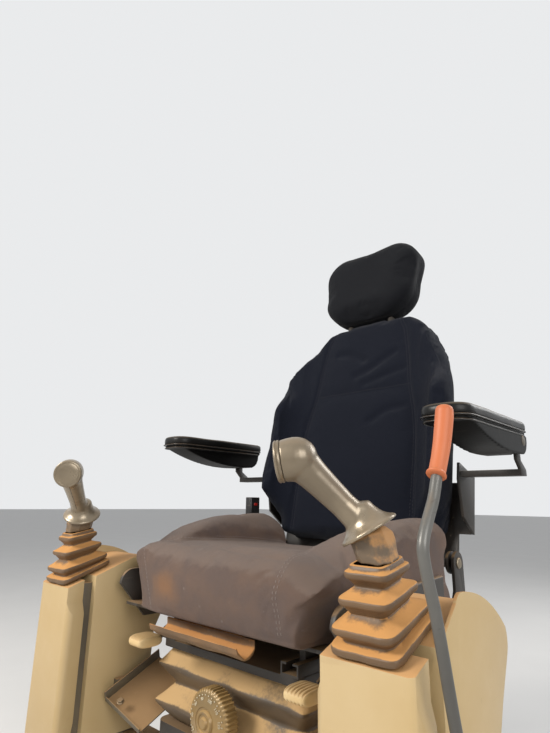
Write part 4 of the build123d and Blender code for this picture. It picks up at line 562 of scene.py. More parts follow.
def ring_surface(rings: Array) -> Form:
    """Close a stack of rings, k by n by 3, with a pole and a fan of faces at each end."""
    count, around = rings.shape[:2]
    points = np.concatenate([rings.reshape(-1, 3), rings[0].mean(0)[None], rings[-1].mean(0)[None]])
    step = np.arange(around)
    first = np.stack([np.full(around, count * around), (step + 1) % around, step], axis=-1)
    base = (count - 1) * around
    last = np.stack([np.full(around, count * around + 1), base + step, base + (step + 1) % around], axis=-1)
    return points, grid_faces(count, around).tolist() + first.tolist() + last.tolist()


def looped(rings: Array) -> Form:
    """Join a stack of rings, k by n by 3, whose last one is next to its first."""
    count, around = rings.shape[:2]
    return rings.reshape(-1, 3), (grid_faces(count + 1, around) % (count * around)).tolist()


def merge_surfaces(parts: Sequence[Form]) -> Form:
    """Put several closed surfaces into one set of points and faces."""
    points, faces, start = [], [], 0
    for corners, polygons in parts:
        points.append(corners)
        faces += [[start + index for index in polygon] for polygon in polygons]
        start += len(corners)
    return np.concatenate(points), faces


def unit(rows: Array) -> Array:
    """Vectors, or one, at length 1."""
    return rows / np.linalg.norm(rows, axis=-1, keepdims=True)


def spokes(around: int, first: Array, second: Array) -> Array:
    """The spokes of rings that lie in the plane of two ways: cos * first + sin * second."""
    angle = np.linspace(0, math.tau, around, endpoint=False)[:, None]
    return np.cos(angle) * first[..., None, :] + np.sin(angle) * second[..., None, :]


def axes_of(direction: Array, hint: Array = UPWARD) -> tuple[Array, Array, Array]:
    """Two unit vectors square to a direction, and the direction itself."""
    along = unit(np.asarray(direction, float))
    if abs(along @ hint) > 0.98:
        hint = np.array([1.0, 0.0, 0.0])
    first = unit(np.cross(hint, along))
    return first, np.cross(along, first), along


def turned(profile: Sequence[tuple[float, float]], base: Array, direction: Array, around: int = 48) -> Form:
    """A turned surface.

    Args:
        profile: pairs of height along the axis and radius, in millimetres, from one end to the other.
        base: the point at height 0, in metres.
        direction: the axis.
        around: points on each ring.

    Returns:
        The closed surface's points and faces: point = base + height * axis + radius * (cos, sin).
    """
    first, second, along = axes_of(direction)
    spoke = spokes(around, first, second)
    return ring_surface(np.array([np.asarray(base) + height * along + radius * spoke
                                  for height, radius in np.array(profile) * MM]))


def rounded_outline(corners: Sequence[tuple[float, float]], radii: Sequence[float], per_corner: int = 8,
                    per_side: int = 6) -> Array:
    """A polygon with its corners rounded by arcs.

    Args:
        corners: the polygon's corners in order.
        radii: each corner's radius.
        per_corner, per_side: points on each arc and on each straight run.

    Returns:
        The points in order. Each arc touches both sides at radius times the tangent of half the turn.
    """
    corners = np.array(corners, float)
    before, after = np.roll(corners, 1, axis=0), np.roll(corners, -1, axis=0)
    back = (before - corners) / np.linalg.norm(before - corners, axis=1)[:, None]
    ahead = (after - corners) / np.linalg.norm(after - corners, axis=1)[:, None]
    half = np.arccos(np.clip((back * ahead).sum(1), -1, 1)) / 2
    reach = np.array(radii) / np.tan(half)
    start, end = corners + back * reach[:, None], corners + ahead * reach[:, None]
    share = np.linspace(0, 1, per_corner)[None, :, None]
    # A quadratic curve with the corner as its control point, near enough to the arc
    arcs = (1 - share) ** 2 * start[:, None] + 2 * share * (1 - share) * corners[:, None] + share ** 2 * end[:, None]
    side = np.linspace(0, 1, per_side + 2)[1:-1][None, :, None]
    runs = end[:, None] * (1 - side) + np.roll(start, -1, axis=0)[:, None] * side
    return np.concatenate([arcs, runs], axis=1).reshape(-1, 2)


def tube_along(path: Array, radius: Array, around: int = 24, hint: Array = np.array([1.0, 0.0, 0.0]),
               closed: bool = False) -> Form:
    """A round tube whose rings stand square to a path.

    Args:
        path: the path's points.
        radius: one radius, or one for each point.
        around: points on each ring.
        hint: a way that the path never takes.
        closed: whether the path's end meets its start.

    Returns:
        The tube's points and faces.
    """
    tangent = unit(np.roll(path, -1, axis=0) - np.roll(path, 1, axis=0) if closed else np.gradient(path, axis=0))
    first = unit(np.cross(hint, tangent))
    radius = np.broadcast_to(np.asarray(radius, float), (len(path),))
    rings = path[:, None] + spokes(around, first, np.cross(tangent, first)) * radius[:, None, None]
    return looped(rings) if closed else ring_surface(rings)


def smooth_path(corners: Sequence[Point], steps: int = 60) -> Array:
    """A soft curve through points: a Catmull-Rom blend of each four neighbours."""
    points = np.array(corners, float)
    padded = np.concatenate([2 * points[:1] - points[1:2], points, 2 * points[-1:] - points[-2:-1]])
    place = np.linspace(0, len(points) - 1, steps)
    index = np.minimum(place.astype(int), len(points) - 2)
    share = (place - index)[:, None]
    p0, p1, p2, p3 = (padded[index + shift] for shift in range(4))
    return 0.5 * (2 * p1 + (p2 - p0) * share + (2 * p0 - 5 * p1 + 4 * p2 - p3) * share ** 2
                  + (3 * p1 - p0 - 3 * p2 + p3) * share ** 3)


def values_of(items: Sequence, what: str, width: int = 1, kind: type = float) -> Array:
    """One property of all corners, faces or loops of a mesh, a row each where it has more than one value."""
    flat = np.empty(len(items) * width, kind)
    items.foreach_get(what, flat)
    return flat.reshape(-1, width) if width > 1 else flat


def mesh_points(mesh: Mesh, what: str = "co") -> Array:
    """A mesh's corners, or their normals, as an n by 3 array."""
    return values_of(mesh.vertices, what, 3)


def mesh_faces(mesh: Mesh) -> list:
    """A mesh's faces as point numbers."""
    return [list(face.vertices) for face in mesh.polygons]


def move_to(mesh: Mesh, points: Array) -> None:
    """Move a mesh's corners."""
    mesh.vertices.foreach_set("co", points.ravel())
    mesh.update()


def realise(piece: Piece) -> Mesh:
    """The mesh that a piece's modifiers make."""
    graph = bpy.context.evaluated_depsgraph_get()
    return bpy.data.meshes.new_from_object(piece.evaluated_get(graph), depsgraph=graph)


def used_up(rough: Piece) -> Mesh:
    """The mesh that a helper's modifiers make; the helper goes."""
    bpy.context.view_layer.update()
    mesh = realise(rough)
    bpy.data.objects.remove(rough)
    return mesh


def evened(rough: Piece, voxel: float, rounds: int) -> Mesh:
    """A helper's form in even quads with its edges melted round.

    Args:
        rough: the helper, which goes.
        voxel: the quads' size.
        rounds: how often each corner moves half way to its neighbours' middle.

    Returns:
        The mesh.
    """
    set_up(rough.modifiers.new("even", "REMESH"), mode="VOXEL", voxel_size=voxel)
    set_up(rough.modifiers.new("soften", "SMOOTH"), factor=0.5, iterations=rounds)
    return used_up(rough)


def cad_copy(node: str, name: str, flat_angle: float = 0.0) -> Piece:
    """A helper with a CAD node's mesh, its doubled corners merged."""
    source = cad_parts[node].data
    mesh = clean_mesh(name, mesh_points(source), mesh_faces(source), CAD_MERGE, flat_angle)
    return placed(name + "_rough", mesh)


def eased_copy(node: str, name: str, width: float) -> Piece:
    """A piece with a CAD node's form, its sharp edges eased to a width, which replaces the node."""
    rough = cad_copy(node, name, FLAT_ANGLE)
    set_up(rough.modifiers.new("eased", "BEVEL"), width=width, segments=2, limit_method="ANGLE",
           angle_limit=math.radians(EDGE_ANGLE))
    piece = show_mesh(name, used_up(rough), EDGE_ANGLE + 2)
    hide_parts(node)
    return piece


def settle(piece: Piece, body: str) -> Piece:
    """Let a piece ride on a body and report it."""
    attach(piece, body)
    log.info("%s rides on %s with %d faces", piece.name, body, len(piece.data.polygons))
    return piece


# Padded pieces


@dataclass(frozen=True)
class Seam:
    """A line pressed into a pad: a path near its surface, a groove, and rows of stitches beside it."""

    path: tuple[Point, ...]
    depth: float = 3.0 * MM
    half_width: float = 5.0 * MM
    rows: tuple[float, ...] = (-3.5 * MM, 3.5 * MM)
    pinned: bool = True
    samples: int = 140


def box_map(mesh: Mesh) -> None:
    """Give a mesh the cloth map, in metres: each face takes the two axes that it faces least."""
    layer = mesh.uv_layers.new(name="cloth")
    corners = values_of(mesh.loops, "vertex_index", kind=np.int32)
    sizes = values_of(mesh.polygons, "loop_total", kind=np.int32)
    side = np.repeat(np.abs(values_of(mesh.polygons, "normal", 3)).argmax(1), sizes)
    kept = np.array([[1, 2], [0, 2], [0, 1]])[side]
    layer.data.foreach_set("uv", np.take_along_axis(mesh_points(mesh)[corners], kept, axis=1).ravel())


def line_gap(points: Array, line: Array) -> Array:
    """How far each point is from the nearest sample of a line."""
    gap = np.full(len(points), np.inf)
    for part in np.array_split(line, max(1, len(line) // 40)):
        near = np.linalg.norm(points[:, None] - part[None], axis=2).min(axis=1)
        gap = np.minimum(gap, near)
    return gap


def laid_on(tree: BVHTree, path: Array) -> tuple[Array, Array]:
    """A path's points moved to the nearest place on a surface, and the normals there."""
    found = [tree.find_nearest(Vector(point))[:2] for point in path]
    return np.array([place for place, _ in found]), np.array([normal for _, normal in found])


def tree_of(mesh: Mesh) -> BVHTree:
    """A mesh made ready for finding its nearest places."""
    return BVHTree.FromPolygons(mesh_points(mesh).tolist(), mesh_faces(mesh))


def even_steps(line: Array, pitch: float) -> Array:
    """Points along a line at an even pitch, leaving half a pitch at its ends."""
    length = np.concatenate([[0], np.cumsum(np.linalg.norm(np.diff(line, axis=0), axis=1))])
    places = np.arange(pitch / 2, length[-1], pitch)
    return np.stack([np.interp(places, length, line[:, axis]) for axis in range(3)], axis=1)


def stitch_row(tree: BVHTree, line: Array, offset: float, length: float = 5 * MM, gap: float = 2.5 * MM,
               thickness: float = 0.5 * MM) -> Form:
    """A row of stitches beside a seam.

    Args:
        tree: the cloth.
        line: the seam's points.
        offset: how far beside the seam the row runs.
        length, gap: each stitch and the space after it.
        thickness: the thread's half thickness.

    Returns:
        The stitches' points and faces. Each is a thread in a low arch: it rises from the cloth by one
        thickness in its middle and dips under it at both ends, and six points go round it.
    """
    line, normals = laid_on(tree, line)
    across = np.cross(normals, np.gradient(line, axis=0))
    across /= np.linalg.norm(across, axis=1)[:, None] + 1e-12
    row, _ = laid_on(tree, line + across * offset)
    centre, up = laid_on(tree, even_steps(row, length + gap))
    along = np.gradient(centre, axis=0)
    along -= up * (along * up).sum(1)[:, None]
    along /= np.linalg.norm(along, axis=1)[:, None] + 1e-12
    side = np.cross(up, along)
    share = np.linspace(-1, 1, 5)
    spine = (centre[:, None] + along[:, None] * (share * length / 2)[None, :, None]
             + up[:, None] * (thickness * (1.0 - 1.9 * share ** 2))[None, :, None])
    taper = np.array([0.5, 0.9, 1.0, 0.9, 0.5]) * thickness
    rings = spine[:, :, None] + spokes(6, side, up)[:, None] * taper[None, :, None, None]
    faces = grid_faces(5, 6).tolist() + [[5, 4, 3, 2, 1, 0], [24, 25, 26, 27, 28, 29]]
    whole = [[30 * number + index for index in face] for number in range(len(centre)) for face in faces]
    return rings.reshape(-1, 3), whole


@dataclass
class Pad:
    """A padded piece, blown up as cloth from its CAD node and sewn down along its seams."""

    node: str
    body: str
    finish: str
    thread: str
    seams: tuple[Seam, ...]
    lies_on: Point
    lies_below: float
    voxel: float = 5.5 * MM
    rounds: int = 10
    slack: float = 4.0 * MM
    pressure: float = 4.0
    cap: float = 9.0 * MM
    reach: float = 0.6 * MM
    fill: float = 0.6
    spare_cloth: float = 0.003
    frames: int = 20
    support_slack: float = 0.3 * MM
    pinned_voxels: float = 0.6

    def shaped(self, points: Array) -> Array:
        """The form before it is blown up; a kind of pad may change it."""
        return points

    def lying(self, points: Array) -> Array:
        """Which corners lie on the pad's support: those far enough along the way that it faces."""
        return points @ np.array(self.lies_on) > self.lies_below

    def blown(self, piece: Piece, held: Array) -> Array:
        """Blow the pad up and return its corners.

        Args:
            piece: the slack pad.
            held: which corners stay.

        Returns:
            The corners after the last frame.
        """
        group = piece.vertex_groups.new(name="held")
        group.add(np.flatnonzero(held).tolist(), 1.0, "REPLACE")
        cloth = piece.modifiers.new("cloth", "CLOTH")
        set_up(cloth.settings, quality=4, mass=0.2, use_pressure=True, uniform_pressure_force=self.pressure,
               vertex_group_mass="held", shrink_min=-self.spare_cloth, tension_stiffness=15.0,
               compression_stiffness=15.0, bending_stiffness=0.6)
        cloth.settings.effector_weights.gravity = 0.0
        cloth.collision_settings.use_collision = False
        cloth.point_cache.frame_end = self.frames
        for number in range(1, self.frames + 1):
            bpy.context.scene.frame_set(number)
        points = mesh_points(realise(piece))
        piece.modifiers.clear()
        piece.vertex_groups.clear()
        bpy.context.scene.frame_set(1)
        return points

    def build(self, finishes: Finishes) -> None:
        """Make the pad and its stitches."""
        name = self.node + "_cover"
        mesh = evened(cad_copy(self.node, name), self.voxel, self.rounds)
        move_to(mesh, self.shaped(mesh_points(mesh)))
        full, outward, tree = mesh_points(mesh), mesh_points(mesh, "normal"), tree_of(mesh)
        lying = self.lying(full)
        groove, held = np.zeros(len(full)), lying.copy()
        for seam in self.seams:
            line, _ = laid_on(tree, smooth_path(seam.path, seam.samples))
            gap = line_gap(full, line)
            groove = np.maximum(groove, seam.depth * np.exp(-(gap / seam.half_width) ** 2))
            if seam.pinned:
                held |= gap < self.pinned_voxels * self.voxel
        slack = np.where(lying, self.support_slack, self.slack)
        start = full - outward * np.maximum(slack, groove)[:, None]
        mesh.vertices.foreach_set("co", start.ravel())
        piece = show_mesh(name, mesh, 180.0)
        moved = self.blown(piece, held) - start
        far = np.linalg.norm(moved, axis=1)
        moved *= np.minimum(1.0, self.cap / np.maximum(far, 1e-9))[:, None]
        start = start + moved
        # Eased back where the cloth would pass the full form by more than its reach
        past = ((start - full) * outward).sum(1)
        limit = self.reach - groove
        over = np.maximum(past - limit + 2 * self.reach, 0.0)
        eased = np.where(over > 0, limit - 2 * self.reach * np.exp(-over / (2 * self.reach)), past)
        start += outward * (eased - past)[:, None]
        move_to(piece.data, start)
        set_up(piece.modifiers.new("rounder", "SUBSURF"), levels=1, render_levels=1)
        bpy.context.view_layer.update()
        final = realise(piece)
        piece.modifiers.clear()
        piece.data = final
        box_map(smoothed(final))
        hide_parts(self.node)
        settle(finishes.dress(piece, self.finish), self.body)
        self.sew(finishes, tree_of(final))

    def sew(self, finishes: Finishes, tree: BVHTree) -> None:
        """Lay the stitches along the seams that have them."""
        rows = [stitch_row(tree, smooth_path(seam.path, seam.samples), offset)
                for seam in self.seams for offset in seam.rows]
        if rows:
            finishes.put(self.node + "_stitches", merge_surfaces(rows), self.thread, self.body, 50.0)


def on_back(across: float, height: float, out: float = 41.0) -> Point:
    """A place on the backrest in metres, from millimetres across, up the back and out of it."""
    return (across * MM, (BACK_HINGE[0] + height * math.sin(BACK_LEAN) - out * math.cos(BACK_LEAN)) * MM,
            (BACK_HINGE[1] + height * math.cos(BACK_LEAN) + out * math.sin(BACK_LEAN)) * MM)


def both_sides(path: Sequence[Point]) -> tuple[tuple[Point, ...], tuple[Point, ...]]:
    """A path and its mirror image across the middle."""
    return tuple(path), tuple((-x, y, z) for x, y, z in path)


def rise(values: Array, low: float, high: float) -> Array:
    """A soft step from 0 at low to 1 at high: 3 t ** 2 - 2 t ** 3."""
    share = np.clip((values - low) / (high - low), 0.0, 1.0)
    return share * share * (3 - 2 * share)


class CushionPad(Pad):
    """The seat cushion: its front corners fall away above and draw in below."""

    def shaped(self, points: Array) -> Array:
        """Narrow the nose towards its foot and drop its upper corners."""
        x, y, z = points.T.copy()
        nose = rise(-y, 0.130, 0.255)
        corner = nose * rise(np.abs(x), 0.165, 0.250)
        foot = rise(-z, -0.500, -0.395)
        z -= 0.021 * corner * rise(z, 0.440, 0.500)
        x *= 1 - nose * 0.150 * foot
        return np.stack([x, y, z], axis=1)


class BackPad(Pad):
    """The back cushion: its shoulders are a little fuller than the CAD form's cut corners."""

    def shaped(self, points: Array) -> Array:
        """Push both shoulders out and up, and let the bolsters run out below them."""
        hinge = np.array([0.0, *BACK_HINGE]) / 1000
        height, front = (points - hinge) @ BACK_UP, (points - hinge) @ BACK_OUT
        drop = np.maximum(front - 0.046, 0.0) * 0.85 * rise(height, 0.330, 0.450)
        side = np.sign(points[:, 0])
        gap = np.hypot(np.abs(points[:, 0]) - 0.158, height - 0.562)
        push = np.where(side > 0, 12.0, 4.0) * MM * np.exp(-(gap / 0.050) ** 2)
        edge = rise(np.abs(points[:, 0]), 0.090, 0.200)
        flank = np.where(side > 0, -8.0 * np.exp(-((height - 0.455) / 0.060) ** 2),
                         28.0 * np.exp(-((height - 0.458) / 0.060) ** 2)) * MM * edge
        return (points - drop[:, None] * BACK_OUT + (side * flank)[:, None] * [1.0, 0, 0]
                + push[:, None] * (side[:, None] * [0.72, 0, 0] + BACK_UP * 0.70))


class HeadPad(Pad):
    """The headrest, a little fuller than its CAD form."""

    def shaped(self, points: Array) -> Array:
        """Bow its sides and its crown, and draw its corners in."""
        offset = points - np.array(on_back(0, 702, 31.0))
        height = offset @ BACK_UP
        across, level = (offset[:, 0] / 0.126) ** 2, (height / 0.107) ** 2
        corner = np.clip(across, 0, 1.1) * np.clip(level, 0, 1.1) * (height < 0)
        top = rise(height, -0.030, 0.060)
        moved = points + (height * (0.022 + 0.035 * (1 - across) - 0.030 * corner + 0.045 * top))[:, None] * BACK_UP
        moved[:, 0] += offset[:, 0] * (0.030 + 0.055 * (1 - level) - 0.060 * corner + 0.080 * top)
        return moved


@dataclass
class SoftGoods:
    """The seat cushion, the back cushion and the headrest."""

    def cushion_seams(self) -> tuple[Seam, ...]:
        """Welts down the front, the crease behind the roll and the seams inside the bolsters."""
        near = ((0.1570, -0.100, 0.506), (0.1640, -0.170, 0.506), (0.1720, -0.232, 0.503), (0.1775, -0.268, 0.492),
                (0.1760, -0.285, 0.470), (0.1740, -0.285, 0.452), (0.1800, -0.285, 0.425), (0.1820, -0.283, 0.396))
        far = ((-0.1570, -0.100, 0.506), (-0.1640, -0.170, 0.506), (-0.1740, -0.232, 0.503),
               (-0.1800, -0.268, 0.492), (-0.1740, -0.285, 0.467), (-0.1620, -0.285, 0.435),
               (-0.1460, -0.285, 0.402), (-0.1420, -0.283, 0.394))
        welt = ((-0.1930, -0.262, 0.490), (-0.1900, -0.280, 0.465), (-0.1790, -0.283, 0.434),
                (-0.1640, -0.283, 0.402))
        crease = ((-0.150, -0.205, 0.506), (-0.080, -0.212, 0.506), (0.0, -0.226, 0.506), (0.062, -0.240, 0.506),
                  (0.160, -0.250, 0.503))
        inner = ((0.1570, -0.100, 0.506), (0.1540, 0.0, 0.500), (0.1520, 0.110, 0.486))
        fine = (((0.060, -0.130, 0.500), (0.095, -0.110, 0.500), (0.135, -0.105, 0.503)),
                ((0.040, -0.100, 0.499), (0.080, -0.060, 0.498), (0.130, -0.040, 0.500)))
        seams = [Seam(near, 4.0 * MM, 5.0 * MM, (-3.0 * MM, 3.0 * MM)),
                 Seam(far, 3.5 * MM, 4.5 * MM, (3.0 * MM,)), Seam(welt, 2.5 * MM, 4.0 * MM, ()),
                 Seam(crease, 7.5 * MM, 12.0 * MM, ())]
        seams += [Seam(path, 4.5 * MM, 6.0 * MM, (-3.0 * MM, 3.0 * MM)) for path in both_sides(inner)]
        seams += [Seam(path, 4.6 * MM, 4.0 * MM, (), False) for path in fine]
        return tuple(seams)

    def back_seams(self) -> tuple[Seam, ...]:
        """The seams inside the back's bolsters, the one across, and the soft folds above it."""
        upright = [on_back(x, height) for x, height in
                   ((96, 586), (105, 560), (115, 535), (128, 450), (136, 380), (150, 310), (157, 240), (158, 160),
                    (158, 95), (158, 40))]
        across = [on_back(x, 380, out) for x, out in ((-136, 43), (-70, 41), (0, 41), (70, 41), (136, 43))]
        folds = ([(-20, 428), (20, 440), (60, 462), (92, 478)], [(10, 402), (50, 412), (96, 424), (120, 428)],
                 [(-80, 500), (-40, 492), (0, 470)], [(40, 300), (80, 322), (130, 330)])
        seams = [Seam(path, 4.5 * MM, 6.0 * MM, (-3.5 * MM, 3.5 * MM)) for path in both_sides(upright)]
        seams.append(Seam(tuple(across), 4.0 * MM, 6.0 * MM, (3.5 * MM,)))
        seams += [Seam(tuple(on_back(x, height) for x, height in fold), 5.4 * MM, 11.0 * MM, (), False)
                  for fold in folds]
        return tuple(seams)

    def headrest_seams(self) -> tuple[Seam, ...]:
        """The seam round the headrest's face, a little in from its rim."""
        outline = rounded_outline(((-138, 592), (138, 592), (138, 812), (-138, 812)), (66, 66, 66, 66), 8, 4)
        loop = [on_back(x, height, 30.0) for x, height in outline]
        return (Seam(tuple(loop + loop[:1]), 2.4 * MM, 3.0 * MM, ()),)

    def build(self, finishes: Finishes) -> None:
        """Make the three pads."""
        rear = (0.0, math.cos(BACK_LEAN), -math.sin(BACK_LEAN))
        # The seat cushion wears the seat fabric with sunlight painted into its colour.
        CushionPad("seat_cushion", "seat", "seat_cloth_painted_sunlit", "seam_thread", self.cushion_seams(), (0.0, 0.0, -1.0),
                   -0.3945, rounds=18).build(finishes)
        # The back cushion wears the seat fabric with shade painted into its colour.
        BackPad("back_cushion", "backrest", "back_cloth_painted_shade", "dark_thread", self.back_seams(), rear,
                float(np.array(on_back(0, 0, -20.0)) @ np.array(rear)), voxel=6.0 * MM, rounds=16,
                reach=1.2 * MM).build(finishes)
        HeadPad("headrest_pad", "headrest", "headrest_cloth", "dark_thread", self.headrest_seams(), rear, 9.0,
                voxel=4.5 * MM, rounds=5, slack=1.0 * MM, cap=6.0 * MM, reach=2.5 * MM, fill=0.8,
                spare_cloth=0.0).build(finishes)


# Rubber boots, sticks and levers


def ridge_ring(size: tuple[float, float], centre: Point, tilt: float, power: float = 7.0, around: int = 128) -> Array:
    """A rounded oblong ring, leaned forward.

    Args:
        size: half its width and half its depth.
        centre: its middle.
        tilt: its lean about X, in degrees.
        power: how square it is: 2 is an ellipse.
        around: its points, evenly spaced.

    Returns:
        The ring: |x / half width| ** power + |y / half depth| ** power = 1, turned by the tilt.
    """
    angle = np.linspace(0, math.tau, 1441)
    curve = np.stack([size[0] * np.sign(np.cos(angle)) * np.abs(np.cos(angle)) ** (2 / power),
                      size[1] * np.sign(np.sin(angle)) * np.abs(np.sin(angle)) ** (2 / power)], axis=1)
    length = np.concatenate([[0], np.cumsum(np.linalg.norm(np.diff(curve, axis=0), axis=1))])
    places = np.linspace(0, length[-1], around, endpoint=False)
    x, y = (np.interp(places, length, curve[:, axis]) for axis in range(2))
    lean = math.radians(tilt)
    return np.array(centre) + np.stack([x, y * math.cos(lean), y * math.sin(lean)], axis=1)


@dataclass
class Boots:
    """The pleated rubber boots of both sticks, each in a lower and an upper half.

    Each level is (middle Y, middle Z, lean, width, depth) in millimetres, from the console up.
    """

    across: float = 353.0
    rim: float = 8.0
    wall: float = 3.0
    valley: float = 8.5
    waver: float = 0.006
    upper_lift: float = 0.25 * MM
    base: tuple = (-293.0, 437.2, 20.0, 88.0, 103.0)
    pleats: tuple = ((-298.0, 457.6, 16.0, 80.0, 98.0), (-302.0, 482.5, 13.0, 65.0, 80.0),
                     (-304.0, 506.5, 11.0, 57.0, 61.0))
    neck: tuple = (-305.0, 516.6, 12.0, 45.0, 49.0)

    def shifted(self, level: tuple, rise: float, grow: float = 0.0) -> tuple:
        """A level moved along its own normal and made wider."""
        y, z, tilt, width, depth = level
        lean = math.radians(tilt)
        return (y - rise * math.sin(lean), z + rise * math.cos(lean), tilt, width + grow, depth + grow)

    def pleat(self, level: tuple) -> list[tuple]:
        """The levels of one rim, from its undercut to its top, with both edges rolled."""
        half = self.rim / 2
        steps = ((-half - 0.6, -5.0), (-half, -2.2), (-half + 1.4, -0.5), (-0.6, 0.6), (half - 2.0, 0.2),
                 (half - 0.6, -1.2), (half + 0.1, -3.6), (half + 0.6, -8.0))
        return [self.shifted(level, rise, grow) for rise, grow in steps]

    def groove(self, low: tuple, high: tuple) -> list[tuple]:
        """The levels of the valley between two rims, with a rounded floor."""
        middle = tuple((a + b) / 2 for a, b in zip(low, high))
        narrow = tuple(min(low[k], high[k]) - 2 * self.valley for k in (3, 4))
        floor = (*middle[:3], *narrow)
        return [self.shifted(floor, -1.4, 1.4), floor, self.shifted(floor, 1.4, 1.4)]

    def wall_of(self, levels: Sequence[tuple]) -> Form:
        """Rings through the levels and the same rings further in, as one wall."""
        def stack(inset: float) -> Array:
            rings = np.array([ridge_ring(((width / 2 - inset) * MM, (depth / 2 - inset) * MM),
                                         (self.across * MM, y * MM, z * MM), tilt)
                              for y, z, tilt, width, depth in levels])
            x, y, z = rings[..., 0], rings[..., 1], rings[..., 2]
            wave = np.sin(x * 210 + z * 150) + np.sin(y * 170 - x * 90)
            middle = rings.mean(axis=1, keepdims=True)
            return middle + (rings - middle) * (1 + self.waver * wave[..., None])
        return looped(np.concatenate([stack(0.0), stack(self.wall)[::-1]]))

    def build(self, finishes: Finishes) -> None:
        """Make both halves of both boots."""
        low, middle, high = self.pleats
        foot = [self.shifted(self.base, rise, grow) for rise, grow in
                ((0.4, -2.4), (1.0, -0.6), (2.4, 0.2), (7.4, 0.0), (8.6, -1.6), (9.2, -5.0), (9.5, -9.0))]
        split = self.groove(low, middle)
        halves = {"lower": foot + self.groove(self.base, low) + self.pleat(low) + split[:2],
                  "upper": split[1:] + self.pleat(middle) + self.groove(middle, high) + self.pleat(high)
                  + [self.shifted(self.neck, -1.2, 1.5), self.neck]}
        for half, levels in halves.items():
            points, faces = self.wall_of(levels)
            if half == "upper":
                points = points + [0, 0, self.upper_lift]
            for side, sign in SIDES:
                piece = make_piece(f"boot_{half}_{side}_skin", points * [sign, 1, 1], faces, 60.0)
                finishes.dress(piece, "boot_skin")
                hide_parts(f"boot_{half}_{side}")
                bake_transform(piece)
                log.info("%s with %d faces", piece.name, len(piece.data.polygons))


@dataclass
class Grips:
    """The palm grips with their flared skirts, end caps and parting lines."""

    foot: Point = (0.3455, -0.304, 0.548)
    head: Point = (0.288, -0.368, 0.629)
    knee: Point = (0.356, -0.304, 0.516)
    cap_way: Point = (-0.81, -0.56, -0.16)
    voxel: float = 1.3 * MM

    def skirt_way(self) -> Array:
        """The skirt's axis: half way between the collar's and the grip's."""
        foot, head, knee = (np.array(point) for point in (self.foot, self.head, self.knee))
        return unit(unit(foot - knee) + unit(head - foot))

    def body(self) -> Form:
        """Skirt, palm, head and the stub behind the cap, as overlapping closed forms."""
        foot, head = np.array(self.foot), np.array(self.head)
        way, cap = self.skirt_way(), unit(np.array(self.cap_way))
        # The skirt: height over the foot and radius, hollow below
        skirt = ((3.5, 0.01), (3.2, 22), (1.5, 30), (-0.3, 33.5), (-0.6, 35.2), (0.8, 36.4), (2.8, 36.2), (4.4, 34.2),
                 (6.5, 30.5), (10, 26.4), (15, 23.0), (22, 19.8), (30, 17.6), (38, 0.01))
        share = np.linspace(0.06, 1.0, 26)
        radius = np.interp(share, (0.06, 0.2, 0.36, 0.6, 0.78, 0.9, 1.0), (19.0, 16.6, 15.6, 17.2, 19.0, 21.5, 24.0))
        palm = tube_along(foot + (head - foot) * share[:, None], radius * MM, 40)
        swell = ((-25.8, 0.01), (-24, 9.4), (-20, 16.4), (-14, 21.8), (-7, 24.9), (0, 26.0), (8, 25.6), (17, 24.6),
                 (17.4, 0.01))
        return merge_surfaces([turned(skirt, foot, way, 72), palm, turned(swell, head, cap, 56)])

    def build(self, finishes: Finishes) -> None:
        """Make the grip, the cap and the lines of both sticks."""
        smooth = evened(make_piece("grip_rough", *self.body()), self.voxel * (1), 9)
        tree = tree_of(smooth)
        foot, head = np.array(self.foot), np.array(self.head)
        cap, along = unit(np.array(self.cap_way)), unit(head - foot)
        line = foot + (head - foot) * np.linspace(0.30, 0.86, 40)[:, None]
        lines = []
        for way in (np.array([-0.45, -0.35, -0.82]), np.array([0.55, 0.35, 0.75])):
            path, normal = laid_on(tree, line + unit(way - along * (way @ along)) * 20 * MM)
            lines.append(tube_along(path - normal * 0.25 * MM, 0.55 * MM, 8))
        disc = ((0.0, 0.01), (0.0, 20.0), (0.0, 24.0), (1.2, 25.2), (2.6, 25.4), (3.2, 24.6), (4.0, 24.5),
                (4.6, 25.3), (6.0, 25.2), (7.2, 24.0), (7.8, 21.6), (7.4, 20.6), (7.9, 19.6), (8.6, 12.0), (8.9, 0.01))
        for name, form, finish, node in (
                ("palm_grip_{}", (mesh_points(smooth), mesh_faces(smooth)), "grip_moulding", "grip_{}"),
                ("grip_end_cap_{}", turned(disc, head + cap * 17.2 * MM, cap, 72), "grip_moulding", "grip_cap_{}"),
                ("grip_parting_lines_{}", merge_surfaces(lines), "dark_line", "")):
            finishes.put_pair(name, form, finish, "stick_{}", 45.0, node)


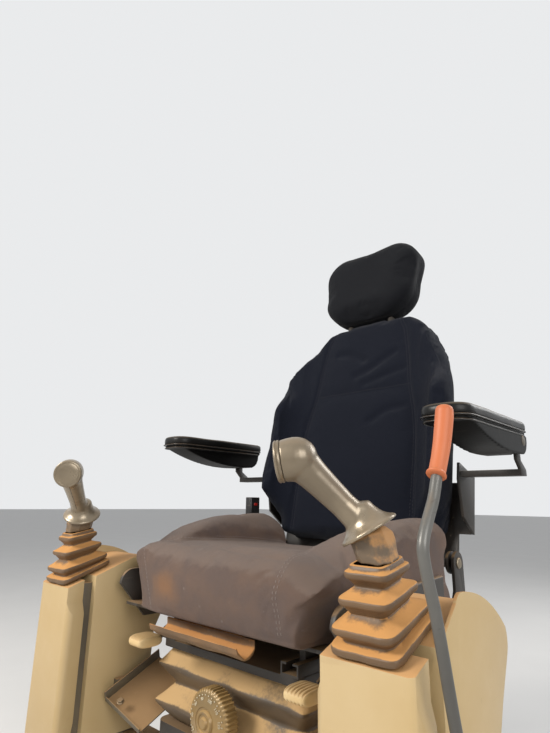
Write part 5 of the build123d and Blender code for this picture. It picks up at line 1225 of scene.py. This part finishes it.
@dataclass
class LockLever:
    """The lock lever's bent tube with its pivot eye, and its curved soft sleeve."""

    across: float = 0.441
    tube_radius: float = 5.9 * MM
    # From the eye to the sleeve's foot and through the sleeve: Y, Z in millimetres
    tube: tuple = ((-302.5, 319.0), (-309, 340), (-320, 375.7), (-328.5, 408), (-338, 447), (-347.5, 482),
                   (-357, 508), (-363, 528), (-363.5, 541), (-358, 553), (-347, 568), (-335, 584), (-325, 604),
                   (-314, 626), (-303, 650))
    sleeve: tuple = ((-325.5, 607.0), (-320, 615), (-311.5, 630), (-304, 646), (-298, 662), (-293.5, 676),
                     (-292, 687))

    def spine(self, corners: Sequence[tuple[float, float]], steps: int) -> Array:
        """A soft curve at the lever's own X."""
        return smooth_path([(self.across, y * MM, z * MM) for y, z in corners], steps)

    def build(self, finishes: Finishes) -> None:
        """Make the lever and its sleeve."""
        eye = ((-5.0, 6.3), (-5.0, 14.0), (-4.0, 15.6), (4.0, 15.6), (5.0, 14.0), (5.0, 6.3))
        centre, spoke = np.array([self.across, -0.299, 0.307]), spokes(56, BACKWARD, UPWARD)
        rings = np.stack([height * np.array([1.0, 0.0, 0.0]) + radius * spoke for height, radius in eye]) * MM
        lever = merge_surfaces([tube_along(self.spine(self.tube, 120), self.tube_radius, 28),
                                looped(rings + centre)])
        finishes.put("lock_lever_tube", lever, "lever_coat", "lock_lever", node="lock_lever")
        knots = (0, 0.012, 0.03, 0.055, 0.075, 0.10, 0.3, 0.55, 0.8, 0.91, 0.955, 0.985, 1.0)
        radii = (6.6, 9.6, 10.6, 10.4, 9.2, 8.8, 9.0, 9.7, 10.1, 9.7, 8.6, 6.4, 2.4)
        sleeve = tube_along(self.spine(self.sleeve, 90), np.interp(np.linspace(0, 1, 90), knots, radii) * MM, 40)
        finishes.put("lock_lever_sleeve", sleeve, "orange_sleeve", "lock_lever", 50.0, "lock_lever_grip")


@dataclass
class WeightKnob:
    """The knob that sets the suspension to the sitter's weight: ribbed rim, dished face, hub and scale."""

    centre: Point = (0.017, -0.230, 0.257)
    ribs: int = 44
    rib: float = 2.4 * MM
    figure_lean: float = 0.32

    def build(self, finishes: Finishes) -> None:
        """Make the knob and its scale."""
        around = self.ribs * 10
        # Height from the knob's back, radius and share of the ribs' height
        profile = ((0.0, 12, 0), (0.0, 38.5, 0), (1.0, 40.5, 0.4), (2.4, 42.4, 1), (20.5, 42.4, 1),
                   (22.6, 41.6, 0.8), (24.4, 40.0, 0.2), (25.4, 38.2, 0), (25.8, 36.4, 0), (26.6, 33.5, 0),
                   (28.6, 28.0, 0), (30.2, 23.0, 0), (30.8, 21.2, 0), (29.6, 20.2, 0), (29.4, 17.4, 0),
                   (31.6, 16.4, 0), (33.2, 15.2, 0), (33.6, 13.8, 0), (33.0, 12.4, 0), (31.6, 11.6, 0),
                   (31.4, 8.4, 0), (32.8, 7.6, 0), (34.6, 6.2, 0), (35.0, 3.0, 0), (35.1, 0.01, 0))
        height, radius, share = np.array(profile).T
        angle = np.linspace(0, math.tau, around, endpoint=False)
        tooth = np.clip(1.6 * np.cos(angle * self.ribs), -1, 1) * 0.5 + 0.5
        reach = radius[:, None] * MM + share[:, None] * self.rib * tooth[None]
        spoke = spokes(around, *axes_of(-BACKWARD)[:2])
        rings = np.array(self.centre) - height[:, None, None] * MM * BACKWARD + reach[..., None] * spoke[None]
        finishes.put("weight_dial", ring_surface(rings), "knob_moulding", "station", 32.0, "weight_knob")
        self.scale(finishes)

    def on_face(self, turn: float, radius: float, height: float) -> Array:
        """A place over the knob's back: its angle from the top, its radius and its height in millimetres."""
        outward = np.array([math.sin(turn), 0.0, math.cos(turn)])
        return np.array(self.centre) - height * MM * BACKWARD + radius * MM * outward

    def scale(self, finishes: Finishes) -> None:
        """Raised figures and dots round the face."""
        parts = [self.figure(str(50 + 10 * step), math.radians(-150 + step * 33), 31.0, 6.2) for step in range(9)]
        for step in range(27):
            place = self.on_face(math.radians(-155 + step * 11.5), 36.2, 27.2)
            parts.append(turned(((-0.8, 0.9), (0.3, 0.9), (0.6, 0.5)), place, -BACKWARD, 10))
        finishes.put("weight_dial_scale", merge_surfaces(parts), "dial_mark", "station", 30.0)

    def figure(self, text: str, turn: float, radius: float, size: float) -> Form:
        """One number as a mesh, standing outward on the knob's face.

        Args:
            text: the number.
            turn: its angle from the top, clockwise seen from the front.
            radius: how far from the hub's middle, in millimetres.
            size: its height, in millimetres.

        Returns:
            Its points and faces.
        """
        curve = set_up(bpy.data.curves.new("figure", "FONT"), body=text, size=size, extrude=0.35, align_x="CENTER",
                       align_y="CENTER")
        mesh = used_up(placed("figure", curve))
        flat, lean = mesh_points(mesh) * MM, self.figure_lean
        right = np.array([math.cos(turn), 0.0, -math.sin(turn)])
        up = np.array([math.sin(turn), 0.0, math.cos(turn)]) * math.cos(lean) + BACKWARD * math.sin(lean)
        out = np.cross(right, up)
        out *= -np.sign(out[1])
        middle = self.on_face(turn, radius, 26.2 + (38.2 - radius) * 0.30)
        return middle + flat[:, :1] * right + flat[:, 1:2] * up + flat[:, 2:3] * out, mesh_faces(mesh)


@dataclass
class Paddles:
    """The two ribbed ends of the levers under the cushion's front."""

    across: float = 190.0
    front: float = -259.0
    height: float = 330.0
    width: float = 44.0
    depth: float = 52.0
    thickness: float = 20.0
    ribs: int = 7

    def build(self, finishes: Finishes) -> None:
        """Make both paddles: a bar lying along X with rounded ends, thinner in the grooves between its ribs.

        A point is (half width * run, half depth * ends * |cos| ** 0.6, half thickness * ends * groove
        * |sin| ** 0.7), with the signs of cos and sin.
        """
        run = np.linspace(-1, 1, 150)
        ends = np.clip(1 - np.abs(run) ** 9, 0.02, 1) ** 0.5
        groove = 1 - 0.24 * np.abs(np.cos((run + 1) / 2 * math.pi * self.ribs)) ** 5 * (np.abs(run) < 0.93)
        angle = np.linspace(0, math.tau, 56, endpoint=False)
        along = np.sign(np.cos(angle)) * np.abs(np.cos(angle)) ** 0.6
        upward = np.sign(np.sin(angle)) * np.abs(np.sin(angle)) ** 0.7
        rings = np.stack(np.broadcast_arrays(
            run[:, None] * self.width / 2, ends[:, None] * self.depth / 2 * along,
            (ends * groove)[:, None] * self.thickness / 2 * upward), axis=-1) * MM
        middle = np.array([self.across, self.front + self.depth / 2, self.height]) * MM
        points, faces = ring_surface(rings)
        finishes.put_pair("ribbed_paddle_{}", (points + middle, faces), "cream_moulding", "seat", 60.0,
                          "lever_paddle_{}")


# Skins, covers and small fittings


def ripple(points: Array, lengths: tuple[float, float, float]) -> Array:
    """Smooth waves of -1 to 1 over space.

    Args:
        points: the places, n by 3, in metres.
        lengths: the waves' lengths, in metres.

    Returns:
        One value a place: the mean of three sines, each along its own slanted way.
    """
    ways = np.array([[0.8, 0.5, 0.33], [-0.45, 0.78, 0.43], [0.35, -0.3, 0.89]])
    turns = points @ (ways / np.array(lengths)[:, None]).T * math.tau
    return np.sin(turns + [0.3, 1.9, 4.1]).mean(axis=1)


@dataclass(frozen=True)
class Skin:
    """A CAD node made again in even quads, with softened edges and slight dents."""

    node: str
    title: str
    body: str
    finish: str
    voxel: float
    rounds: int
    dent: float = 0.0
    dent_lengths: tuple[float, float, float] = (0.11, 0.07, 0.045)
    soft: bool = False

    def build(self, finishes: Finishes) -> None:
        """Make the skin."""
        mesh = evened(cad_copy(self.node, self.title), self.voxel * (1.0), self.rounds)
        points, outward = mesh_points(mesh), mesh_points(mesh, "normal")
        points += outward * (self.dent * (ripple(points, self.dent_lengths) - 0.4))[:, None]
        move_to(mesh, points)
        piece = show_mesh(self.title, mesh, 70.0)
        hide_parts(self.node)
        settle(finishes.dress(piece, self.finish), self.body)


@dataclass
class Skins:
    """The gaiter, the bent handle bar, the armrests' pads and shells, and the collars."""

    bead: float = 1.3 * MM
    bead_end: float = 0.172  # the Y where the lower bead stops

    def build(self, finishes: Finishes) -> None:
        """Make each skin, then the armrests' rim lines."""
        skins = [Skin("gaiter", "gaiter_skin", "station", "gaiter_skin", 4.0 * MM, 3, 2.0 * MM),
                 Skin("front_bar", "handle_bar", "seat", "dusty_handle", 1.6 * MM, 2, 1.6 * MM,
                      (0.09, 0.05, 0.03))]
        for side, _ in SIDES:
            skins += [Skin(f"armrest_pad_{side}", f"armrest_cover_{side}", f"armrest_{side}", "armrest_skin",
                           3.0 * MM, 6, 0.5 * MM, soft=True),
                      # The shells take the armrests' plastic with painted shade.
                      Skin(f"armrest_shell_{side}", f"armrest_tray_{side}", f"armrest_{side}", "armrest_underside",
                           2.4 * MM, 3),
                      Skin(f"stick_collar_{side}", f"collar_{side}", f"stick_{side}", "collar_skin", 1.4 * MM, 3,
                           0.8 * MM, (0.03, 0.02, 0.015))]
        for skin in skins:
            skin.build(finishes)
        self.rim_lines(finishes)

    def rim_lines(self, finishes: Finishes) -> None:
        """Two thin beads round each armrest; the lower one stops before the bracket's slot."""
        outline = rounded_outline(((304, -98), (390, -98), (390, 187), (304, 187)), (36, 36, 18, 18), 9, 12)
        middle, half = outline.mean(axis=0), np.array([43.0, 142.5])
        upper, lower = (np.column_stack([middle + (outline - middle) * (1 - inset / half),
                                         np.full(len(outline), height)]) * MM
                        for height, inset in ((711.6, 0.2), (704.2, 3.0)))
        ahead = lower[:, 1] < self.bead_end
        first = int(np.flatnonzero(ahead & ~np.roll(ahead, 1))[0])
        lower = np.roll(lower, -first, axis=0)[:int(ahead.sum())]
        beads = merge_surfaces([tube_along(upper, self.bead, 8, UPWARD, closed=True),
                                tube_along(lower, self.bead, 8, UPWARD)])
        finishes.put_pair("armrest_beads_{}", beads, "armrest_bead", "armrest_{}", 60.0)


@dataclass
class Fittings:
    """Bolts, washers, pin heads, the belt's button and its webbing."""

    def bolt(self, place: Point, way: Point, flat: float, height: float, washer: float) -> Form:
        """A hexagon head with a dome on a washer, in millimetres.

        Args:
            place: where the washer sits.
            way: the way the head faces.
            flat: half the head's width across its corners.
            height: the head's height.
            washer: the washer's radius.

        Returns:
            Both parts' points and faces.
        """
        base, way = np.array(place) * MM, np.array(way, float)
        ring = turned(((0, washer), (1.2, washer), (1.6, washer - 0.5), (1.6, 0.01)), base, way, 28)
        head = turned(((1.2, flat), (1.2 + height * 0.82, flat), (1.2 + height, flat * 0.86),
                       (1.2 + height, flat * 0.8), (1.1 + height, 0.01)), base, way, 6)
        return merge_surfaces([ring, head])

    def button(self, place: Point, way: Point, radius: float, height: float) -> Form:
        """A low dome, in millimetres."""
        profile = ((-0.5, radius), (height * 0.4, radius), (height * 0.8, radius * 0.86), (height, radius * 0.5),
                   (height * 1.04, 0.01))
        return turned(profile, np.array(place) * MM, np.array(way, float), 32)

    def build(self, finishes: Finishes) -> None:
        """Make each group of fittings."""
        floor = [self.bolt((x, y, 4.0), (0, 0, 1), 9.6, 6.4, 11.0) for x in (-200, 200) for y in (-210, 210)]
        trays = [self.bolt((sign * 236.0, -246.0, 222.0), (sign * -0.34, -0.3, 0.89), 5.4, 3.6, 6.8)
                 for sign in (-1, 1)]
        pins = [self.button((sign * 385.5, 164.0, 694.0), (sign, 0, 0), 9.5, 3.2) for sign in (-1, 1)]
        hinges = [self.button((sign * 243.0, 170.0, 470.0), (sign, 0, 0), 10.0, 3.4) for sign in (-1, 1)]
        rows = (("floor_bolts", "zinc_bolt", "base", floor), ("tray_bolts", "zinc_bolt", "station", trays),
                ("armrest_pin_heads", "bracket_coat", "backrest", pins),
                ("hinge_pin_heads", "zinc_bolt", "seat", hinges))
        for name, finish, body, parts in rows:
            finishes.put(name, merge_surfaces(parts), finish, body, 30.0)
        self.belt(finishes)

    def belt(self, finishes: Finishes) -> None:
        """The red button in the buckle's top and the folded webbing at the parked tongue."""
        shape = rounded_outline(((-6, -3.2), (6, -3.2), (6, 3.2), (-6, 3.2)), (2.0,) * 4, 6, 2)
        levels = np.array([(0.0, 1.0), (1.2, 1.0), (1.8, 0.9), (2.0, 0.6)])
        rings = np.array([np.column_stack([np.full(len(shape), h), shape[:, 0] * s, shape[:, 1] * s])
                          for h, s in levels])
        middle = np.array([-253.4, 112.0, 573.0])
        finishes.put("belt_button", ring_surface((rings + middle) * MM), "red_button", "seat")
        run = np.linspace(0, 1, 40)
        height = 372.5 + 10 * np.sin(run * math.pi) ** 0.7
        path = np.column_stack([np.full(40, 290.6) - 1.2 * np.sin(run * 9), 146 + 32 * run, height]) * MM
        shape = np.array([(-1.1, -0.5), (1.1, -0.5), (1.1, 0.5), (-1.1, 0.5)]) * MM
        rings = path[:, None] + shape[None, :, :1] * np.array([1.0, 0, 0]) + shape[None, :, 1:] * UPWARD
        webbing = make_piece("belt_webbing_fold", *ring_surface(rings))
        box_map(webbing.data)
        settle(finishes.dress(webbing, "belt_webbing"), "seat")


@dataclass
class Studio:
    """Camera at the photograph's angle, a pale floor and soft lamps."""

    eye: Point = (0.676, -0.828, 0.579)
    yaw: float = 42.72
    pitch: float = 15.19
    roll: float = 0.77
    lens: float = 24.52
    floor_half: float = 30.0
    floor_gap: float = 0.5 * MM

    def camera(self) -> None:
        """Stand the camera: X right, Y up and -Z ahead, turned by yaw, pitch and roll."""
        yaw, pitch, roll = (math.radians(angle) for angle in (self.yaw, self.pitch, self.roll))
        ahead = Vector((-math.sin(yaw) * math.cos(pitch), math.cos(yaw) * math.cos(pitch), math.sin(pitch)))
        right = Vector((math.cos(yaw), math.sin(yaw), 0.0))
        up = right.cross(ahead)
        right, up = right * math.cos(roll) + up * math.sin(roll), up * math.cos(roll) - right * math.sin(roll)
        data = set_up(bpy.data.cameras.new("photo_camera"), lens=self.lens, sensor_width=36.0, sensor_height=36.0,
                      sensor_fit="AUTO", clip_start=0.02, clip_end=100.0)
        camera = placed("photo_camera", data)
        camera.matrix_world = Matrix.Translation(self.eye) @ Matrix((right, up, -ahead)).transposed().to_4x4()
        bpy.context.scene.camera = camera

    def floor(self) -> None:
        """Lay the pale floor, just under the rails."""
        half = self.floor_half
        corners = np.array([[-half, -half, 0], [half, -half, 0], [half, half, 0], [-half, half, 0]])
        floor = make_piece("floor", corners - [0, 0, self.floor_gap], [[0, 1, 2, 3]])
        material = bpy.data.materials.new("pale_floor")
        material.use_nodes = True
        shader = material.node_tree.nodes["Principled BSDF"]
        sketch = Sketch(material.node_tree)
        shade = sketch.mix(sketch.noise(sketch.place(), 3.0), paint(214, 213, 211), paint(222, 221, 219))
        sketch.feed_named(shader, Base_Color=shade, Roughness=0.7)
        floor.data.materials.append(material)

    def lamps(self) -> None:
        """Hang the lamps: place, aim, size, power and colour of each, and the even sky."""
        table = (
            ("key", (-1.2, -2.6, 2.3), (0.0, -0.1, 0.55), 1.2, 95.0, (1.0, 0.955, 0.89)),
            ("fill", (2.7, -1.3, 1.7), (0.1, 0.0, 0.5), 1.8, 46.0, (1.0, 0.98, 0.95)),
            ("rim", (1.2, 2.4, 2.3), (0.0, 0.0, 0.7), 1.6, 40.0, (1.0, 1.0, 1.0)),
        )
        for name, place, aim, size, power, colour in table:
            data = set_up(bpy.data.lights.new(name, "AREA"), shape="DISK", size=size, energy=power, color=colour)
            turn = (Vector(aim) - Vector(place)).to_track_quat("-Z", "Y").to_euler()
            set_up(placed(name, data), location=place, rotation_euler=turn)
        world = bpy.data.worlds.new("studio")
        world.use_nodes = True
        sketch = Sketch(world.node_tree)
        nodes = world.node_tree.nodes
        light = sketch.fed(nodes["Background"], (0.95, 0.97, 1.0, 1.0), 0.42)
        seen = sketch.fed(sketch.node("Background"), (0.82, 0.83, 0.84, 1.0), 1.0)
        rays = sketch.node("LightPath").outputs
        clear = sketch.math("MAXIMUM", rays["Is Camera Ray"], rays["Is Transmission Ray"])
        share = sketch.math("MAXIMUM", clear, rays["Is Glossy Ray"])
        choose = sketch.fed(sketch.node("MixShader"), share, light.outputs[0], seen.outputs[0])
        sketch.fed(nodes["World Output"], choose.outputs[0])
        bpy.context.scene.world = world

    def build(self) -> None:
        """Set up everything round the object."""
        self.camera()
        self.floor()
        self.lamps()
        bpy.context.scene.view_settings.view_transform = "Standard"


@dataclass
class RigidParts:
    """CAD nodes that keep their form, with their edges eased: finish, body, edge width and nodes."""

    table: tuple = (
        ("rail_steel_dark", "base", 0.8, ("floor_rails",)),
        ("pedestal_coat", "station", 1.5, ("pedestal",)),
        ("black_coat", "station", 1.5, ("suspension_housing", "suspension_head", "knob_bracket")),
        ("console_moulding", "station", 4.0, pair("console_front", "console_rear")),
        ("bracket_coat", "station", 1.0, pair("console_arm", "side_tray")),
        ("black_coat", "seat", 1.0, ("seat_pan", *pair("slide_lever"), "belt_anchor", "buckle_stalk")),
        ("dark_moulding", "seat", 1.5, pair("seat_valance")),
        ("belt_moulding", "seat", 1.5, ("belt_buckle", "belt_retractor", "belt_tongue")),
        ("black_coat", "backrest", 1.0, ("back_frame", *pair("armrest_bracket"))),
        ("dark_moulding", "backrest", 3.0, ("back_shell",)),
        ("dark_moulding", "backrest", 0.8, ("post_guides",)),
        ("plated_post", "headrest", 0.8, ("headrest_posts",)),
        ("stick_metal", "station", 0.6, pair("stick_yoke")),
    )

    def build(self, finishes: Finishes) -> None:
        """Make and dress each piece."""
        for finish, body, width, nodes in self.table:
            for node in nodes:
                piece = eased_copy(node, node + "_finished", width * MM)
                settle(finishes.dress(piece, finish), body)


@dataclass
class KeptParts:
    """CAD nodes that stay as they are and only get a finish."""

    nodes: tuple = pair("stick_gimbal", "stick_shaft")

    def build(self, finishes: Finishes) -> None:
        """Dress each node."""
        for node in self.nodes:
            finishes.dress(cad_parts[node], "stick_metal")
            log.info("%s keeps its form", node)


def main() -> None:
    """Build the studio, then each sub-assembly in order."""
    logging.basicConfig(level=logging.INFO, format="%(name)s: %(message)s")
    Studio().build()
    finishes = Finishes()
    for part in (RigidParts, KeptParts, SoftGoods, Boots, Grips, LockLever, WeightKnob, Paddles, Skins, Fittings):
        part().build(finishes)


if __name__ == "__main__":
    main()
